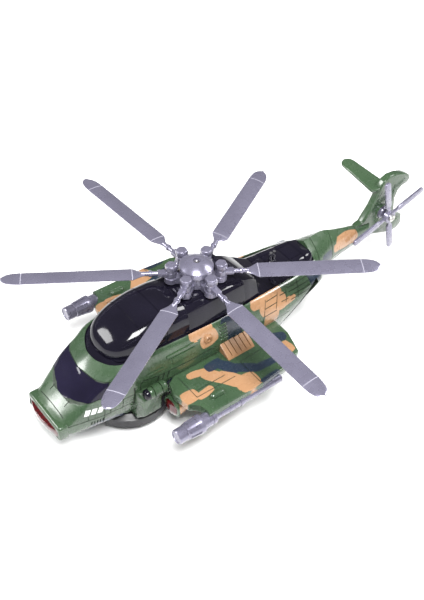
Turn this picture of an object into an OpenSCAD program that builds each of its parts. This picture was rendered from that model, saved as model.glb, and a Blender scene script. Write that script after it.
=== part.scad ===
// Battery toy helicopter: six-blade rotor, bump-and-go drive, gun tubes and lamps.
// Lengths are in millimetres. +X is the nose, +Y the port side, +Z up, and Z = 0 is the floor.
// Each part is drawn with X = 0 on the rotor axis, and place() moves it to the middle of the length.

/* [Main rotor] */
// Rotor radius, axis to blade tip
rotor_r = 130; // [126:1:136]
// Blade chord
blade_w = 12.5; // [10:0.5:14]
// Radius of the blade hinge bolts
bolt_r = 17; // [16:0.5:18]
// Swing of the sixth blade on its hinge as stored
blade_swing = 4.6; // [0:0.2:8]
// Turn of the rotor as stored
rotor_turn = 28.8; // [0:0.1:59]

/* [Tail rotor] */
// Tail rotor radius
tail_r = 39; // [34:1:40]
// Turn of the tail rotor as stored
tail_turn = 18; // [0:1:89]

/* [Running gear] */
// Rear wheel radius
rear_wheel_r = 10; // [9.5:0.5:10.5]
// Running clearance of shafts, radial
run = 0.06; // [0.02:0.01:0.09]

/* [Shell] */
// Wall thickness of the moulded shells
wall = 2; // [1.6:0.1:2.4]
// Half width of the deck opening
deck_half = 24.3; // [23.9:0.1:24.6]

/* [Hidden] */
$fn = 48;
eps = 0.01;
gap = 0.05;
mid_x = 48.8;

green = [0.24, 0.40, 0.20];
black = [0.04, 0.04, 0.05];
silver = [0.58, 0.56, 0.66];
red = [0.45, 0.03, 0.05];
steel = [0.75, 0.75, 0.76];

// ---------- body form ----------
// Stations: x, floor z, floor half width, belt z, belt half width, top z, top half width, crown
stations = [
  [121, 24.0, 16.5, 30, 19.6, 34.5, 17.0, 1.5],
  [117, 22.5, 17.0, 30, 20.0, 36.5, 17.5, 1.5],
  [113, 21.0, 18.0, 30, 20.8, 39.5, 18.5, 1.5],
  [107, 20.0, 19.0, 32, 22.2, 44.0, 20.5, 2.0],
  [ 96, 19.0, 20.5, 36, 25.0, 56.0, 21.5, 4.0],
  [ 84, 18.5, 22.0, 41, 27.6, 63.5, 22.5, 4.0],
  [ 74, 18.0, 23.5, 44, 29.0, 68.5, 24.5, 2.0],
  [ 57, 18.0, 25.0, 46, 30.4, 71.5, 25.6, 1.0],
  [ 20, 18.0, 25.0, 46, 31.6, 69.5, 25.8, 1.0],
  [-28, 18.0, 25.0, 46, 31.6, 67.0, 24.2, 1.0],
  [-60, 20.0, 24.0, 47, 30.6, 65.0, 21.8, 1.0],
  [-80, 29.0, 21.0, 49, 28.6, 64.0, 20.2, 1.0],
  [-104, 42.0, 14.0, 54, 24.0, 64.5, 15.5, 5.0]];

// One side of a section, from keel to ridge, in [y, z]
function half_ring(s) = [
  [0, s[1]], [s[2] - 3, s[1]], [s[2] + 1.5, s[1] + 2.5], [s[4], s[3] - 5], [s[4], s[3] + 4],
  [s[6] + 1.5, s[5] - 3], [s[6] - 2.5, s[5] + 0.6], [0, s[5] + s[7]]];

// A rounded line through the mid points of a control line
function bend(p) = let (n = len(p)) concat([p[0]],
  [for (i = [1:n - 2]) for (t = [0, 0.34, 0.67]) let (
    a = i == 1 ? p[0] : (p[i - 1] + p[i]) / 2,
    c = i == n - 2 ? p[n - 1] : (p[i] + p[i + 1]) / 2)
    if (t > 0 || i > 1) a * (1 - t) * (1 - t) + p[i] * 2 * t * (1 - t) + c * t * t],
  [p[n - 1]]);
function flip(p) = [for (i = [len(p) - 2:-1:1]) [-p[i][0], p[i][1]]];
function ring(s) = let (h = bend(half_ring(s))) concat(h, flip(h));
function shrink(s, w) = [s[0], s[1] + w, s[2] - w * 0.8, s[3], s[4] - w, s[5] - w, s[6] - w * 0.8, s[7]];

module slice(x, outline) {
  translate([x, 0, 0])
    rotate([90, 0, 90])
      linear_extrude(eps)
        polygon(outline);
}

module loft(list) {
  for (i = [0:len(list) - 2])
    hull() {
      slice(list[i][0], ring(list[i]));
      slice(list[i + 1][0], ring(list[i + 1]));
    }
}

module body_solid() {
  loft(stations);
}

module body_cavity() {
  loft([for (s = stations) shrink(s, wall)]);
}

// The plan of the deck opening: round at the nose end, narrow at the tail end
deck_plan = [[86, 0], [85.3, 5], [83.3, 10], [79.8, 16], [74.5, 20.6], [66, 23.4],
  [56, deck_half], [8, deck_half], [-10, deck_half - 0.6], [-30, deck_half - 2.2],
  [-57, 19.6], [-73, 18.7], [-95, 16], [-106, 13]];
module deck_area(inset) {
  p = [for (q = deck_plan) [q[0] > 50 ? q[0] - inset : q[0] + inset, max(0, q[1] - inset)]];
  polygon(concat(p, [for (i = [len(p) - 1:-1:1]) [p[i][0], -p[i][1]]]));
}

module deck_cut(inset, z0, z1) {
  translate([0, 0, z0])
    linear_extrude(z1 - z0)
      deck_area(inset);
}

// Side-view regions that divide the skin
screen_side = [[109.5, 44], [103, 47.5], [91.5, 49], [85, 60.3], [97, 61], [112, 50]];
brow_side = [[97, 61], [85, 60.3], [78, 57], [66, 64], [66, 90], [97, 90]];
window_side = [[-63, 30], [-80, 47], [-98, 57], [-101, 51], [-91, 42]];

module side_prism(outline, y0, y1) {
  translate([0, y1, 0])
    rotate([90, 0, 0])
      linear_extrude(y1 - y0)
        polygon(outline);
}

split_x = 92;
split_z = 44;

module skin() {
  difference() {
    body_solid();
    body_cavity();
  }
}

module side_shell() {
  render()
    difference() {
      intersection() {
        skin();
        translate([-110, 0, split_z])
          cube([split_x + 110, 60, 60]);
      }
      side_prism(screen_side, -60, 60);
      side_prism(brow_side, -60, 60);
      side_prism(window_side, 10, 60);
      deck_cut(0, 55, 110);
    }
}

module side_shell_left() {
  color(green)
    side_shell();
}

module side_shell_right() {
  color(green)
    mirror([0, 1, 0])
      side_shell();
}

// ring bosses, screw posts and cut-outs of the floor
turn_x = 57;
disc_r = 31;
drum_r = 21;
ring_r = 23;
door_x = [-46, 6];
door_half = 20;

module lower_hull() {
  color(green)
    render()
      difference() {
        intersection() {
          skin();
          translate([-110, -60, 0])
            cube([split_x + 110, 120, split_z]);
        }
        side_prism(screen_side, -60, 60);
        side_prism(window_side, 10, 60);
        side_prism(window_side, -60, -10);
        translate([turn_x, 0, 0])
          cylinder(r = ring_r + 0.15, h = 30);
        translate([door_x[0] - gap, -door_half - gap, 0])
          cube([door_x[1] - door_x[0] + 2 * gap, 2 * door_half + 2 * gap, 24]);
        translate([18, 10, 0])
          cube([12, 8, 24]);
        for (p = screw_at, side = [-1, 1])
          translate([p[0], side * p[1], 10])
            cylinder(r = 1.25, h = 20, $fn = 24);
      }
}

// The bar across the tip of the nose, and the seat of the lens under its lip
bar_x = [115.6, 123.6];
bar_half = 20;
lens_half = 18.2;
lens_z = [23.4, 31.4];
module nose_bar() {
  translate([bar_x[0], -bar_half, 22.6])
    cube([bar_x[1] - bar_x[0], 2 * bar_half, 12.6]);
}

module nose_cap() {
  color(green)
    render()
      difference() {
        union() {
          difference() {
            intersection() {
              skin();
              translate([split_x, -60, 0])
                cube([60, 120, 80]);
            }
            side_prism(screen_side, -60, 60);
            side_prism(brow_side, -60, 60);
          }
          nose_bar();
        }
        translate([119.5, -lens_half - gap, lens_z[0] - gap])
          cube([20, 2 * (lens_half + gap), lens_z[1] - lens_z[0] + 2 * gap]);
      }
}

module nose_lens() {
  color(red)
    difference() {
      intersection() {
        translate([87, 0, lens_z[0]])
          cylinder(r = 40, h = lens_z[1] - lens_z[0]);
        translate([119.5, -lens_half, 20])
          cube([20, 2 * lens_half, 20]);
      }
      translate([121.5, -30, lens_z[0] - 4])
        rotate([0, 48, 0])
          cube([20, 60, 20]);
    }
}

module windscreen() {
  color(black)
    render()
      intersection() {
        skin();
        side_prism(screen_side, -60, 60);
      }
}

module forehead() {
  color(green)
    render()
      difference() {
        intersection() {
          skin();
          side_prism(brow_side, -60, 60);
        }
        deck_cut(0, 50, 110);
      }
}

// ---------- canopy and deck ----------
// Dome stations: x, half width, sill z, crown z
dome = [[81, 3, 68.5, 70.5], [80, 8, 68.5, 73.5], [77.5, 13, 68.5, 77.2], [73.5, 17, 68.5, 80.6],
  [68, 19.8, 68.5, 83.8], [60, 21.9, 68, 87.0], [50, 23.0, 68, 89.6], [40, 23.4, 67.5, 90.8],
  [30, 23.4, 67, 90.8], [22, 23.4, 66.5, 89.6]];

function dome_ring(s) = [for (i = [0:16]) let (a = i * 180 / 16, c = cos(a))
  [s[1] * (c < 0 ? -1 : 1) * pow(abs(c), 0.6), s[2] + (s[3] - s[2]) * pow(max(0, sin(a)), 0.6)]];

module dome_loft(thin) {
  for (i = [0:len(dome) - 2])
    hull()
      for (s = [dome[i], dome[i + 1]])
        slice(s[0] - (s[0] > 70 ? thin : 0), dome_ring([s[0], max(0.5, s[1] - thin),
          s[2] - (thin > 0 ? 1 : 0), max(s[2] - 0.5, s[3] - thin)]));
}

module canopy() {
  color(black)
    render()
      difference() {
        dome_loft(0);
        translate([-eps, 0, 0])
          dome_loft(1.6);
      }
}

// The trough between the shell's opening and the dome, sunk below the shell
module canopy_rim() {
  color(black)
    render()
      difference() {
        intersection() {
          loft([for (s = stations) shrink(s, 1)]);
          deck_cut(gap, 55, 110);
          translate([22 + gap, -40, 55])
            cube([80, 80, 60]);
        }
        loft([for (s = stations) shrink(s, 2.8)]);
        dome_loft(0);
        translate([0, 0, 55])
          linear_extrude(40)
            deck_area(5.5);
      }
}

// Mast housing on the deck, in cross-section from sill to ridge
house_x = [-28, 21.9];
deck_z = 66;
house = [[23.2, deck_z - 1], [19.2, 84], [15.5, 86.5]];
module house_prism(inset, x0, x1) {
  p = [for (q = house) [q[0] - inset, q[1] - (q[1] > 80 ? inset : 0)]];
  low = [p[0][0], deck_z - 8];
  side = inset > 0 ? concat([low], p) : p;
  translate([x0, 0, 0])
    rotate([90, 0, 90])
      linear_extrude(x1 - x0)
        polygon(concat(side, [for (i = [len(side) - 1:-1:0]) [-side[i][0], side[i][1]]]));
}

// Room for the motor pinion in the rear wall of the housing
module pinion_pocket() {
  translate([motor_x, 0, 55])
    cylinder(r = 3.4, h = 20);
}

module engine_deck() {
  color(black) {
    difference() {
      union() {
        intersection() {
          translate([house_x[0], -30, deck_z - 3])
            cube([house_x[1] - house_x[0], 60, 2.2]);
          deck_cut(0.4, 50, 100);
        }
        intersection() {
          house_prism(0, house_x[0], house_x[1]);
          deck_cut(0.4, 50, 100);
        }
        translate([0, 0, 85.5])
          cylinder(r1 = 12, r2 = 9, h = 2.2);
      }
      house_prism(wall, house_x[0] + wall, house_x[1] - wall);
      translate([0, 0, 70])
        cylinder(r = 5, h = 40);
      pinion_pocket();
    }
    for (x = [-18, -4, 10], side = [-1, 1])
      translate([x, side * 21.4, deck_z - 1])
        cylinder(r = 1.5, h = 14);
  }
}

// Cover stations: x, half width, sill z, top half width, top z
cover = [[-57.2, 19.0, 62.5, 12.5, 70], [-95, 15.4, 62, 10.5, 69.5], [-104, 12.8, 62, 9, 69]];
hump = [[-28.1, 21.4, 63.5, 16, 85], [-36, 20.8, 63.4, 15, 82], [-57.3, 19.0, 62.5, 12.5, 70]];
function cover_ring(s) = [[s[1], s[2]], [s[1], s[2] + 1.5], [s[3], s[4]], [-s[3], s[4]],
  [-s[1], s[2] + 1.5], [-s[1], s[2]]];
module cover_loft(list) {
  for (i = [0:len(list) - 2])
    hull()
      for (s = [list[i], list[i + 1]])
        slice(s[0] - (s[0] < -100 ? eps : 0), cover_ring(s));
}

pin_x = [-70.5, -73.7];
module tail_cover() {
  color(black)
    difference() {
      union() {
        cover_loft(cover);
        cover_loft(hump);
      }
      translate([-96, -10, 60])
        cube([66, 20, 7.5]);
      pinion_pocket();
      for (x = pin_x)
        translate([x, 0, 64])
          cylinder(r = 1.2, h = 20);
    }
}

module cover_pins() {
  color(steel)
    for (x = pin_x)
      translate([x, 0, 67.8])
        cylinder(r = 1.2 - gap, h = 10.2);
}

// ---------- tail ----------
boom = [[-104.1, 42, 12, 54, 17.5, 67.5, 11, 5.5], [-120, 42.5, 8, 54, 13.5, 68.5, 8, 6.5],
  [-140, 43, 5.5, 53, 9, 65, 5.5, 3.5], [-160, 43.5, 3.5, 52, 6, 60.5, 3.5, 2.5],
  [-176, 44, 2.5, 52, 4.6, 58, 2.5, 2]];
function boom_ring(s) = let (h = bend([[0, s[1]], [s[2], s[1]], [s[4], s[3] - 4],
  [s[4], s[3] + 4], [s[6], s[5]], [0, s[5] + s[7]]])) concat(h, flip(h));
module boom_solid(thin) {
  for (i = [0:len(boom) - 2])
    hull()
      for (s = [boom[i], boom[i + 1]])
        slice(s[0], boom_ring([s[0], s[1] + thin, max(0.5, s[2] - thin), s[3],
          max(1, s[4] - thin), s[5] - thin, max(0.5, s[6] - thin), s[7]]));
}

fin_side = [[-160, 61.9], [-167, 63.5], [-174, 75], [-178, 86], [-180, 93], [-183.5, 98],
  [-189, 100.4], [-198, 99.6], [-207, 96.4], [-213.5, 92.5], [-215.6, 88.5], [-213, 84.8],
  [-207, 84], [-203.5, 81], [-202, 74], [-205, 60], [-217, 51], [-219.5, 41], [-215, 37],
  [-208, 36], [-196, 40], [-184, 44.5], [-176.2, 46], [-176.2, 59.5]];
tail_axis = [-188, 11, 67];
// Root of the stabilizer: middle of its chord, on the middle plane
stab_at = [-181.2, 0, 91];

module tail_boom() {
  color(green)
    difference() {
      boom_solid(0);
      intersection() {
        boom_solid(1.8);
        translate([-150, -30, 0])
          cube([60, 60, 100]);
      }
      side_prism(fin_side, -3.1, 3.1);
    }
}

module tail_fin() {
  color(green)
    difference() {
      union() {
        side_prism(fin_side, -3, 3);
        translate([-212, -4.2, 38])
          cube([9, 8.4, 14]);
        translate([tail_axis[0], 0, tail_axis[2]])
          rotate([90, 0, 0])
            cylinder(r = 6.5, h = 7.6, center = true);
      }
      translate([tail_axis[0], 20, tail_axis[2]])
        rotate([90, 0, 0])
          cylinder(r = 1.4, h = 22);
      stab_form(gap);
    }
}

// The stabilizer stands out to starboard only, rising slightly, with its root through the fin
stab_rise = 5.7;
stab_span = 33;
module stab_form(grow) {
  translate(stab_at)
    rotate([-stab_rise, 0, 0])
      hull() {
        translate([0, -0.4, 0])
          scale([8.4 + grow, 3 + grow, 1])
            cylinder(r = 1, h = 3 + 2 * grow, center = true, $fn = 32);
        translate([1, -stab_span, 0])
          cylinder(r = 6.3 + grow, h = 2.2 + 2 * grow, center = true, $fn = 32);
      }
}

module stabilizer() {
  color(green)
    stab_form(0);
}

module tail_gearbox() {
  color(silver)
    difference() {
      translate([tail_axis[0], 3.8 + gap, tail_axis[2]])
        rotate([-90, 0, 0])
          cylinder(r1 = 5.6, r2 = 4.6, h = 3.6);
      translate([tail_axis[0], 20, tail_axis[2]])
        rotate([90, 0, 0])
          cylinder(r = 1.5 + run, h = 30);
    }
}

module tail_rotor() {
  color(silver)
    translate(tail_axis)
      rotate([0, tail_turn, 0])
        rotate([90, 0, 0])
          difference() {
            union() {
              cylinder(r = 5.2, h = 5.4, center = true);
              for (k = [0:3])
                rotate([0, 0, 90 * k]) {
                  translate([0, -1.6, -1.2])
                    cube([12, 3.2, 2.4]);
                  translate([10, -2.8, -1])
                    cube([tail_r - 12.8, 5.6, 2]);
                  translate([tail_r - 2.8, 0, -1])
                    cylinder(r = 2.8, h = 2);
                }
            }
            cylinder(r = 1.5 + run, h = 20, center = true);
          }
}

module tail_rotor_screw() {
  color(steel)
    translate([tail_axis[0], 0, tail_axis[2]])
      rotate([-90, 0, 0])
        difference() {
          union() {
            cylinder(r = 1.4 - gap, h = 4);
            translate([0, 0, 3.9])
              cylinder(r = 1.5, h = 10);
            translate([0, 0, 13.8])
              cylinder(r = 2.8, h = 1.6);
          }
          for (a = [0, 90])
            rotate([0, 0, a])
              translate([-1.6, -0.3, 14.8])
                cube([3.2, 0.6, 2]);
        }
}

// ---------- wings, guns, pods ----------
gun_y = 68.4;
gun_z = 35;
wing_plan = [[37, 29], [46, 34], [49, 44], [46, 58.5], [40.5, 70.6], [-6, 70.6], [-30, 69],
  [-47, 63], [-53, 45], [-53, 29]];

module gun_form(grow) {
  translate([0, gun_y, gun_z])
    rotate([0, 90, 0]) {
      translate([0, 0, -25 - grow])
        cylinder(r = 3.6 + grow, h = 62 + grow);
      translate([0, 0, 10])
        cylinder(r = 4.1 + grow, h = 2.6);
      translate([0, 0, 34 - grow])
        cylinder(r = 5.3 + grow, h = 10.6);
      translate([0, 0, 44.5])
        cylinder(r = 6.8 + grow, h = 2.6);
      translate([0, 0, 47])
        cylinder(r1 = 6.8 + grow, r2 = 5.6 + grow, h = 11);
      translate([0, 0, 57.9])
        cylinder(r = 5.3 + grow, h = 7.1);
    }
}

module gun() {
  color(silver)
    difference() {
      gun_form(0);
      translate([64.4, gun_y, gun_z])
        rotate([0, 90, 0])
          cylinder(r = 4.2, h = 10);
      for (a = [0:45:315])
        translate([52.4, gun_y, gun_z])
          rotate([a, 0, 0])
            translate([0, 0, 6.5])
              rotate([0, 9, 0])
                cube([8.6, 2.2, 1.2], center = true);
    }
}

lamp_c = [49, 41.5, 25];
module wing() {
  color(green)
    difference() {
      union() {
        translate([0, 0, 37])
          linear_extrude(6)
            polygon(wing_plan);
        translate([-24, 29, 43 - eps])
          rotate([90, 0, 90])
            linear_extrude(24)
              polygon([[0, 0], [13, 0], [2, 7.5], [0, 9]]);
        translate([-44, 40, 33])
          cube([60, 24, 4.5]);
        hull() {
          translate([18, lamp_c[1], 32])
            rotate([0, 90, 0])
              cylinder(r = 6, h = 1);
          translate([lamp_c[0] - 2, lamp_c[1], lamp_c[2] + 3])
            rotate([0, 90, 0])
              cylinder(r = 8.4, h = 2);
        }
        translate([25, 60.2, 43])
          rotate([0, 90, 0])
            cylinder(r = 2.6, h = 12, center = true);
      }
      translate([lamp_c[0] - 3, lamp_c[1], lamp_c[2] + 3])
        rotate([0, 90, 0])
          cylinder(r = 6.4, h = 8);
      translate([-42, 42, 30])
        cube([56, 20, 11]);
      translate([-46, 33.5, 30])
        cube([60, 5, 11]);
      translate([50, gun_y - 1, 30])
        cylinder(r = 11, h = 30);
      gun_form(gap);
      body_solid();
    }
}

module wing_lamp() {
  color(red)
    translate([lamp_c[0] - 3, lamp_c[1], lamp_c[2] + 3])
      rotate([0, 90, 0]) {
        cylinder(r = 6.4 - gap, h = 3);
        translate([0, 0, 3])
          cylinder(r1 = 6.3, r2 = 3.5, h = 1.8);
      }
}

module pod() {
  color(green)
    difference() {
      union() {
        hull() {
          translate([50, 24, 20])
            cube([20, 8, 26]);
          translate([54, 26, 26])
            cube([14, 11, 16]);
        }
        translate([50, 35, 46])
          rotate([0, 90, 0])
            cylinder(r = 4.4, h = 14);
      }
      body_solid();
      translate([63, 35.5, 46])
        rotate([0, 90, 0])
          cylinder(r = 3.7, h = 12);
    }
}

module pod_lens() {
  color(black)
    translate([63, 35.5, 46])
      rotate([0, 90, 0]) {
        cylinder(r = 3.6, h = 3);
        translate([0, 0, 3])
          cylinder(r1 = 3.6, r2 = 2, h = 1.4);
      }
}

module wing_left() {
  wing();
}
module wing_right() {
  mirror([0, 1, 0])
    wing();
}
module both_sides() {
  for (side = [0, 1])
    mirror([0, side, 0])
      children();
}

module wing_lamps() {
  both_sides()
    wing_lamp();
}

module gun_left() {
  gun();
}
module gun_right() {
  mirror([0, 1, 0])
    gun();
}
module side_pods() {
  both_sides()
    pod();
}

module pod_lenses() {
  both_sides()
    pod_lens();
}

// ---------- rotor gear train ----------
gear_m = 0.6;
mast_teeth = 40;
idler_small = 12;
pinion_m = 0.5;
idler_big = 32;
pinion_teeth = 8;
idler_x = -gear_m * (mast_teeth + idler_small) / 2;
motor_x = idler_x - pinion_m * (idler_big + pinion_teeth) / 2;

// A spur gear with straight-flanked teeth; a tooth points along +X
module spur(teeth, m, h) {
  rp = teeth * m / 2;
  step = 360 / teeth;
  tip = rp + 0.85 * m;
  root = rp - 1.15 * m;
  linear_extrude(h)
    polygon([for (i = [0:teeth - 1]) for (e = [[root, -0.31], [tip, -0.11], [tip, 0.11], [root, 0.31]])
      let (a = (i + e[1]) * step) [e[0] * cos(a), e[0] * sin(a)]]);
}

module mast() {
  color(steel)
    translate([0, 0, 57]) {
      cylinder(r = 3, h = 41);
      translate([0, 0, -1.5])
        cylinder(r = 4, h = 2.4);
    }
}

module mast_gear() {
  color("white")
    translate([0, 0, 64])
      difference() {
        union() {
          spur(mast_teeth, gear_m, 4);
          translate([0, 0, -2])
            cylinder(r = 6, h = 9);
        }
        translate([0, 0, -5])
          cylinder(r = 3, h = 20);
      }
}

module idler_gear() {
  color("white")
    translate([idler_x, 0, 63.5])
      difference() {
        union() {
          rotate([0, 0, 180 / idler_small])
            spur(idler_small, gear_m, 5.1);
          translate([0, 0, 5])
            spur(idler_big, pinion_m, 3.4);
          cylinder(r = 2.8, h = 9.2);
        }
        translate([0, 0, -1])
          cylinder(r = 1.5 + run, h = 20);
      }
}

module idler_pin() {
  color(steel)
    translate([idler_x, 0, 58.5])
      cylinder(r = 1.5, h = 19);
}

module motor_pinion() {
  color("white")
    translate([motor_x, 0, 60]) {
      translate([0, 0, 8.2])
        rotate([0, 0, 180 / pinion_teeth])
          spur(pinion_teeth, pinion_m, 4.2);
      translate([0, 0, -14])
        cylinder(r = 1, h = 22.3);
    }
}

module motor_can(len) {
  difference() {
    union() {
      intersection() {
        cylinder(r = 10, h = len);
        translate([-10, -7.6, 0])
          cube([20, 15.2, len]);
      }
      translate([0, 0, len - eps])
        cylinder(r = 3, h = 1.6);
    }
    translate([0, 0, len - 13.5])
      cylinder(r = 1 + run, h = 20);
  }
}

module rotor_motor() {
  color(steel)
    translate([motor_x, 0, 37.4])
      motor_can(20.55);
}

frame_lo = 58;
frame_hi = 75;
module gear_frame() {
  color("dimgray")
    difference() {
      union() {
        translate([-37.5, -15.4, frame_lo])
          cube([49.5, 30.8, 3]);
        translate([-20, -15.4, frame_hi])
          cube([32, 30.8, 3]);
        for (x = [-17, 9.5], side = [-1, 1])
          translate([x, side * 13, frame_lo + 2.5])
            cylinder(r = 2.2, h = frame_hi - frame_lo - 2);
        for (side = [-1, 1])
          translate([-8, side * 15.5, 36.3])
            cylinder(r = 3, h = frame_lo - 36.3 + 3);
        for (side = [-1, 1])
          translate([-11, side * 13.5 - 2.5, frame_lo])
            cube([6, 5, 3]);
      }
      cylinder(r = 3 + run, h = 120);
      translate([idler_x, 0, 50])
        cylinder(r = 1.5, h = 40);
      translate([motor_x, 0, 50])
        cylinder(r = 3.05, h = 40);
    }
}

// ---------- rotor ----------
ear_z = 88;
lug_z = 93;
head_z = 98;
blade_pitch = 7;
function blade_dir(k) = rotor_turn + 60 * k;

module rotor_hub() {
  color(silver)
    rotate([0, 0, rotor_turn])
      difference() {
        union() {
          translate([0, 0, ear_z])
            cylinder(r = 10.5, h = 10);
          for (k = [0:5])
            rotate([0, 0, 60 * k]) {
              translate([8, -3.2, ear_z])
                cube([bolt_r - 8, 6.4, lug_z - ear_z - gap]);
              translate([bolt_r, 0, ear_z])
                cylinder(r = 4.6, h = lug_z - ear_z - gap);
            }
        }
        translate([0, 0, 80])
          cylinder(r = 3, h = 30);
        for (k = [0:5])
          rotate([0, 0, 60 * k])
            translate([bolt_r, 0, 80])
              cylinder(r = 1.5, h = 30);
      }
}

module hinge_bolts() {
  color(silver)
    rotate([0, 0, rotor_turn])
      for (k = [0:5])
        rotate([0, 0, 60 * k])
          translate([bolt_r, 0, 0]) {
            translate([0, 0, ear_z])
              cylinder(r = 1.5, h = head_z - ear_z + 1);
            translate([0, 0, head_z])
              intersection() {
                cylinder(r = 4.4, h = 5, $fn = 6);
                cylinder(r1 = 7.2, r2 = 3.7, h = 5.6);
              }
          }
}

module hub_cap() {
  color(silver)
    difference() {
      union() {
        translate([0, 0, head_z + 0.05])
          cylinder(r = 11.8, h = 4);
        translate([0, 0, head_z + 4])
          intersection() {
            translate([0, 0, -13])
              sphere(r = 17.5);
            cylinder(r = 11.8, h = 8);
          }
      }
      translate([0, 0, head_z - 1])
        cylinder(r = 3, h = 3.1);
      translate([0, 0, head_z + 4.6])
        cylinder(r = 2.4, h = 10);
      translate([0, 0, head_z])
        cylinder(r = 1.2, h = 10);
      for (k = [0:5])
        rotate([0, 0, rotor_turn + 60 * k])
          translate([bolt_r, 0, head_z - 1])
            cylinder(r = 5.2, h = 12);
    }
}

module cap_screw() {
  color(steel)
    difference() {
      union() {
        translate([0, 0, head_z + 4.65])
          cylinder(r = 2.3, h = 1.6);
        translate([0, 0, head_z + 2.15])
          cylinder(r = 1.15, h = 2.6);
      }
      for (a = [0, 90])
        rotate([0, 0, a])
          translate([-1.4, -0.3, head_z + 5.5])
            cube([2.8, 0.6, 2]);
    }
}

// One blade along +X from its bolt at the origin
module blade_form() {
  tip = rotor_r - bolt_r;
  chord = blade_w / 2;
  translate([0, 0, lug_z])
    difference() {
      union() {
        cylinder(r = 3.9, h = head_z - lug_z - gap);
        translate([2, -2.4, 0.6])
          cube([7, 4.8, 3.4]);
        translate([8, -1.7, 1])
          cube([12, 3.4, 2.6]);
        translate([13, -2.3, 0.8])
          cube([2.2, 4.6, 3]);
        translate([0, 0, 2.1])
          rotate([blade_pitch, 0, 0])
            translate([0, 0, -1])
              linear_extrude(2)
                polygon([[18, -2], [26, -chord], [tip - 6, -chord], [tip - 2, -chord * 0.72],
              [tip, -chord * 0.3], [tip, chord * 0.3], [tip - 2, chord * 0.72],
              [tip - 6, chord], [26, chord], [18, 2]]);
      }
      translate([0, 0, -5])
        cylinder(r = 1.5 + run, h = 20);
    }
}

module blade(k, swing) {
  color(silver)
    rotate([0, 0, blade_dir(k)])
      translate([bolt_r, 0, 0])
        rotate([0, 0, swing])
          blade_form();
}

module blade_1() {
  blade(0, 0);
}
module blade_2() {
  blade(1, 0);
}
module blade_3() {
  blade(2, 0);
}
module blade_4() {
  blade(3, 0);
}
module blade_5() {
  blade(4, blade_swing);
}
module blade_6() {
  blade(5, 0);
}

// ---------- turntable drive ----------
axle_z = 10;
axle_dx = 4;
axle_teeth = 16;
drive_big = 22;
drive_pinion_teeth = 10;
idler_z = axle_z + pinion_m * axle_teeth;
drive_z = idler_z + pinion_m * (drive_big + drive_pinion_teeth) / 2;
drive_y = 12;
tyre_w = 5;

// Puts a piece drawn along +Z on a cross shaft at height z, running towards -Y from y
module across(y, z) {
  translate([turn_x + axle_dx, y, z])
    rotate([90, 0, 0])
      children();
}

module turntable() {
  color(black)
    difference() {
      union() {
        difference() {
          translate([turn_x, 0, 0]) {
            translate([0, 0, 5])
              cylinder(r1 = disc_r - 1.5, r2 = disc_r, h = 2);
            translate([0, 0, 7])
              cylinder(r = disc_r, h = 7);
            translate([0, 0, 14])
              cylinder(r1 = disc_r, r2 = disc_r - 4, h = 2.95);
            translate([0, 0, 16])
              cylinder(r = drum_r, h = 20);
          }
          translate([turn_x, 0, 6.4])
            cylinder(r = drum_r - 2, h = 28);
          translate([turn_x, 0, 6.4])
            cylinder(r = disc_r - 2, h = 8.5);
          for (side = [-1, 1])
            translate([turn_x + axle_dx - 12, side * drive_y - 3.5, 0])
              cube([24, 7, 8]);
          translate([turn_x + axle_dx - 5, -7, 0])
            cube([10, 4, 8]);
        }
        translate([turn_x + axle_dx - 7, -3.2, 6])
          cube([14, 1.8, 26]);
        translate([turn_x + axle_dx - 3, 5, 6])
          cube([6, 2, 8]);
        across(-3, idler_z)
          cylinder(r = 1.2, h = 6.3);
      }
      across(20, axle_z)
        cylinder(r = 1.5 + run, h = 40);
      across(0, drive_z)
        cylinder(r = 2.05, h = 20);
    }
}

module turntable_ring() {
  color("dimgray")
    translate([turn_x, 0, 17])
      difference() {
        cylinder(r = ring_r, h = 5);
        translate([0, 0, -1])
          cylinder(r = drum_r + run, h = 8);
      }
}

module drive_motor() {
  color(steel)
    across(13.65, drive_z)
      difference() {
        union() {
          intersection() {
            cylinder(r = 6, h = 15);
            translate([-6, -5, 0])
              cube([12, 10, 15]);
          }
          translate([0, 0, 14.9])
            cylinder(r = 2, h = 1.3);
        }
        translate([0, 0, 8])
          cylinder(r = 0.75 + run, h = 20);
      }
}

module drive_pinion() {
  color("white") {
    across(-6.6, drive_z)
      rotate([0, 0, 180 / drive_pinion_teeth])
        spur(drive_pinion_teeth, pinion_m, 2.6);
    across(5, drive_z)
      cylinder(r = 0.75, h = 11.8);
  }
}

module drive_idler() {
  color("white")
    difference() {
      union() {
        across(-3.5, idler_z)
          rotate([0, 0, 180 / axle_teeth])
            spur(axle_teeth, pinion_m, 3);
        across(-6.4, idler_z)
          spur(drive_big, pinion_m, 2.8);
      }
      across(0, idler_z)
        cylinder(r = 1.2 + run, h = 20);
    }
}

module drive_wheels() {
  color("dimgray") {
    across(16, axle_z)
      cylinder(r = 1.5, h = 32);
    across(-3.5, axle_z)
      spur(axle_teeth, pinion_m, 2.9);
    for (side = [-1, 1])
      across(side * drive_y, axle_z)
        difference() {
          cylinder(r = 7.5, h = tyre_w, center = true);
          translate([0, 0, -side * 2.1])
            cylinder(r = 5.8, h = 1.8, center = true);
        }
  }
}

module tyre(r, w, core) {
  rotate([90, 0, 0])
    difference() {
      union() {
        cylinder(r = r, h = w - 1.6, center = true);
        cylinder(r = r - 0.8, h = w, center = true);
      }
      cylinder(r = core, h = w + 2, center = true);
    }
}

module drive_tyres() {
  color("black")
    for (side = [-1, 1])
      translate([turn_x + axle_dx, side * drive_y, axle_z])
        tyre(axle_z, tyre_w, 7.5);
}

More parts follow.
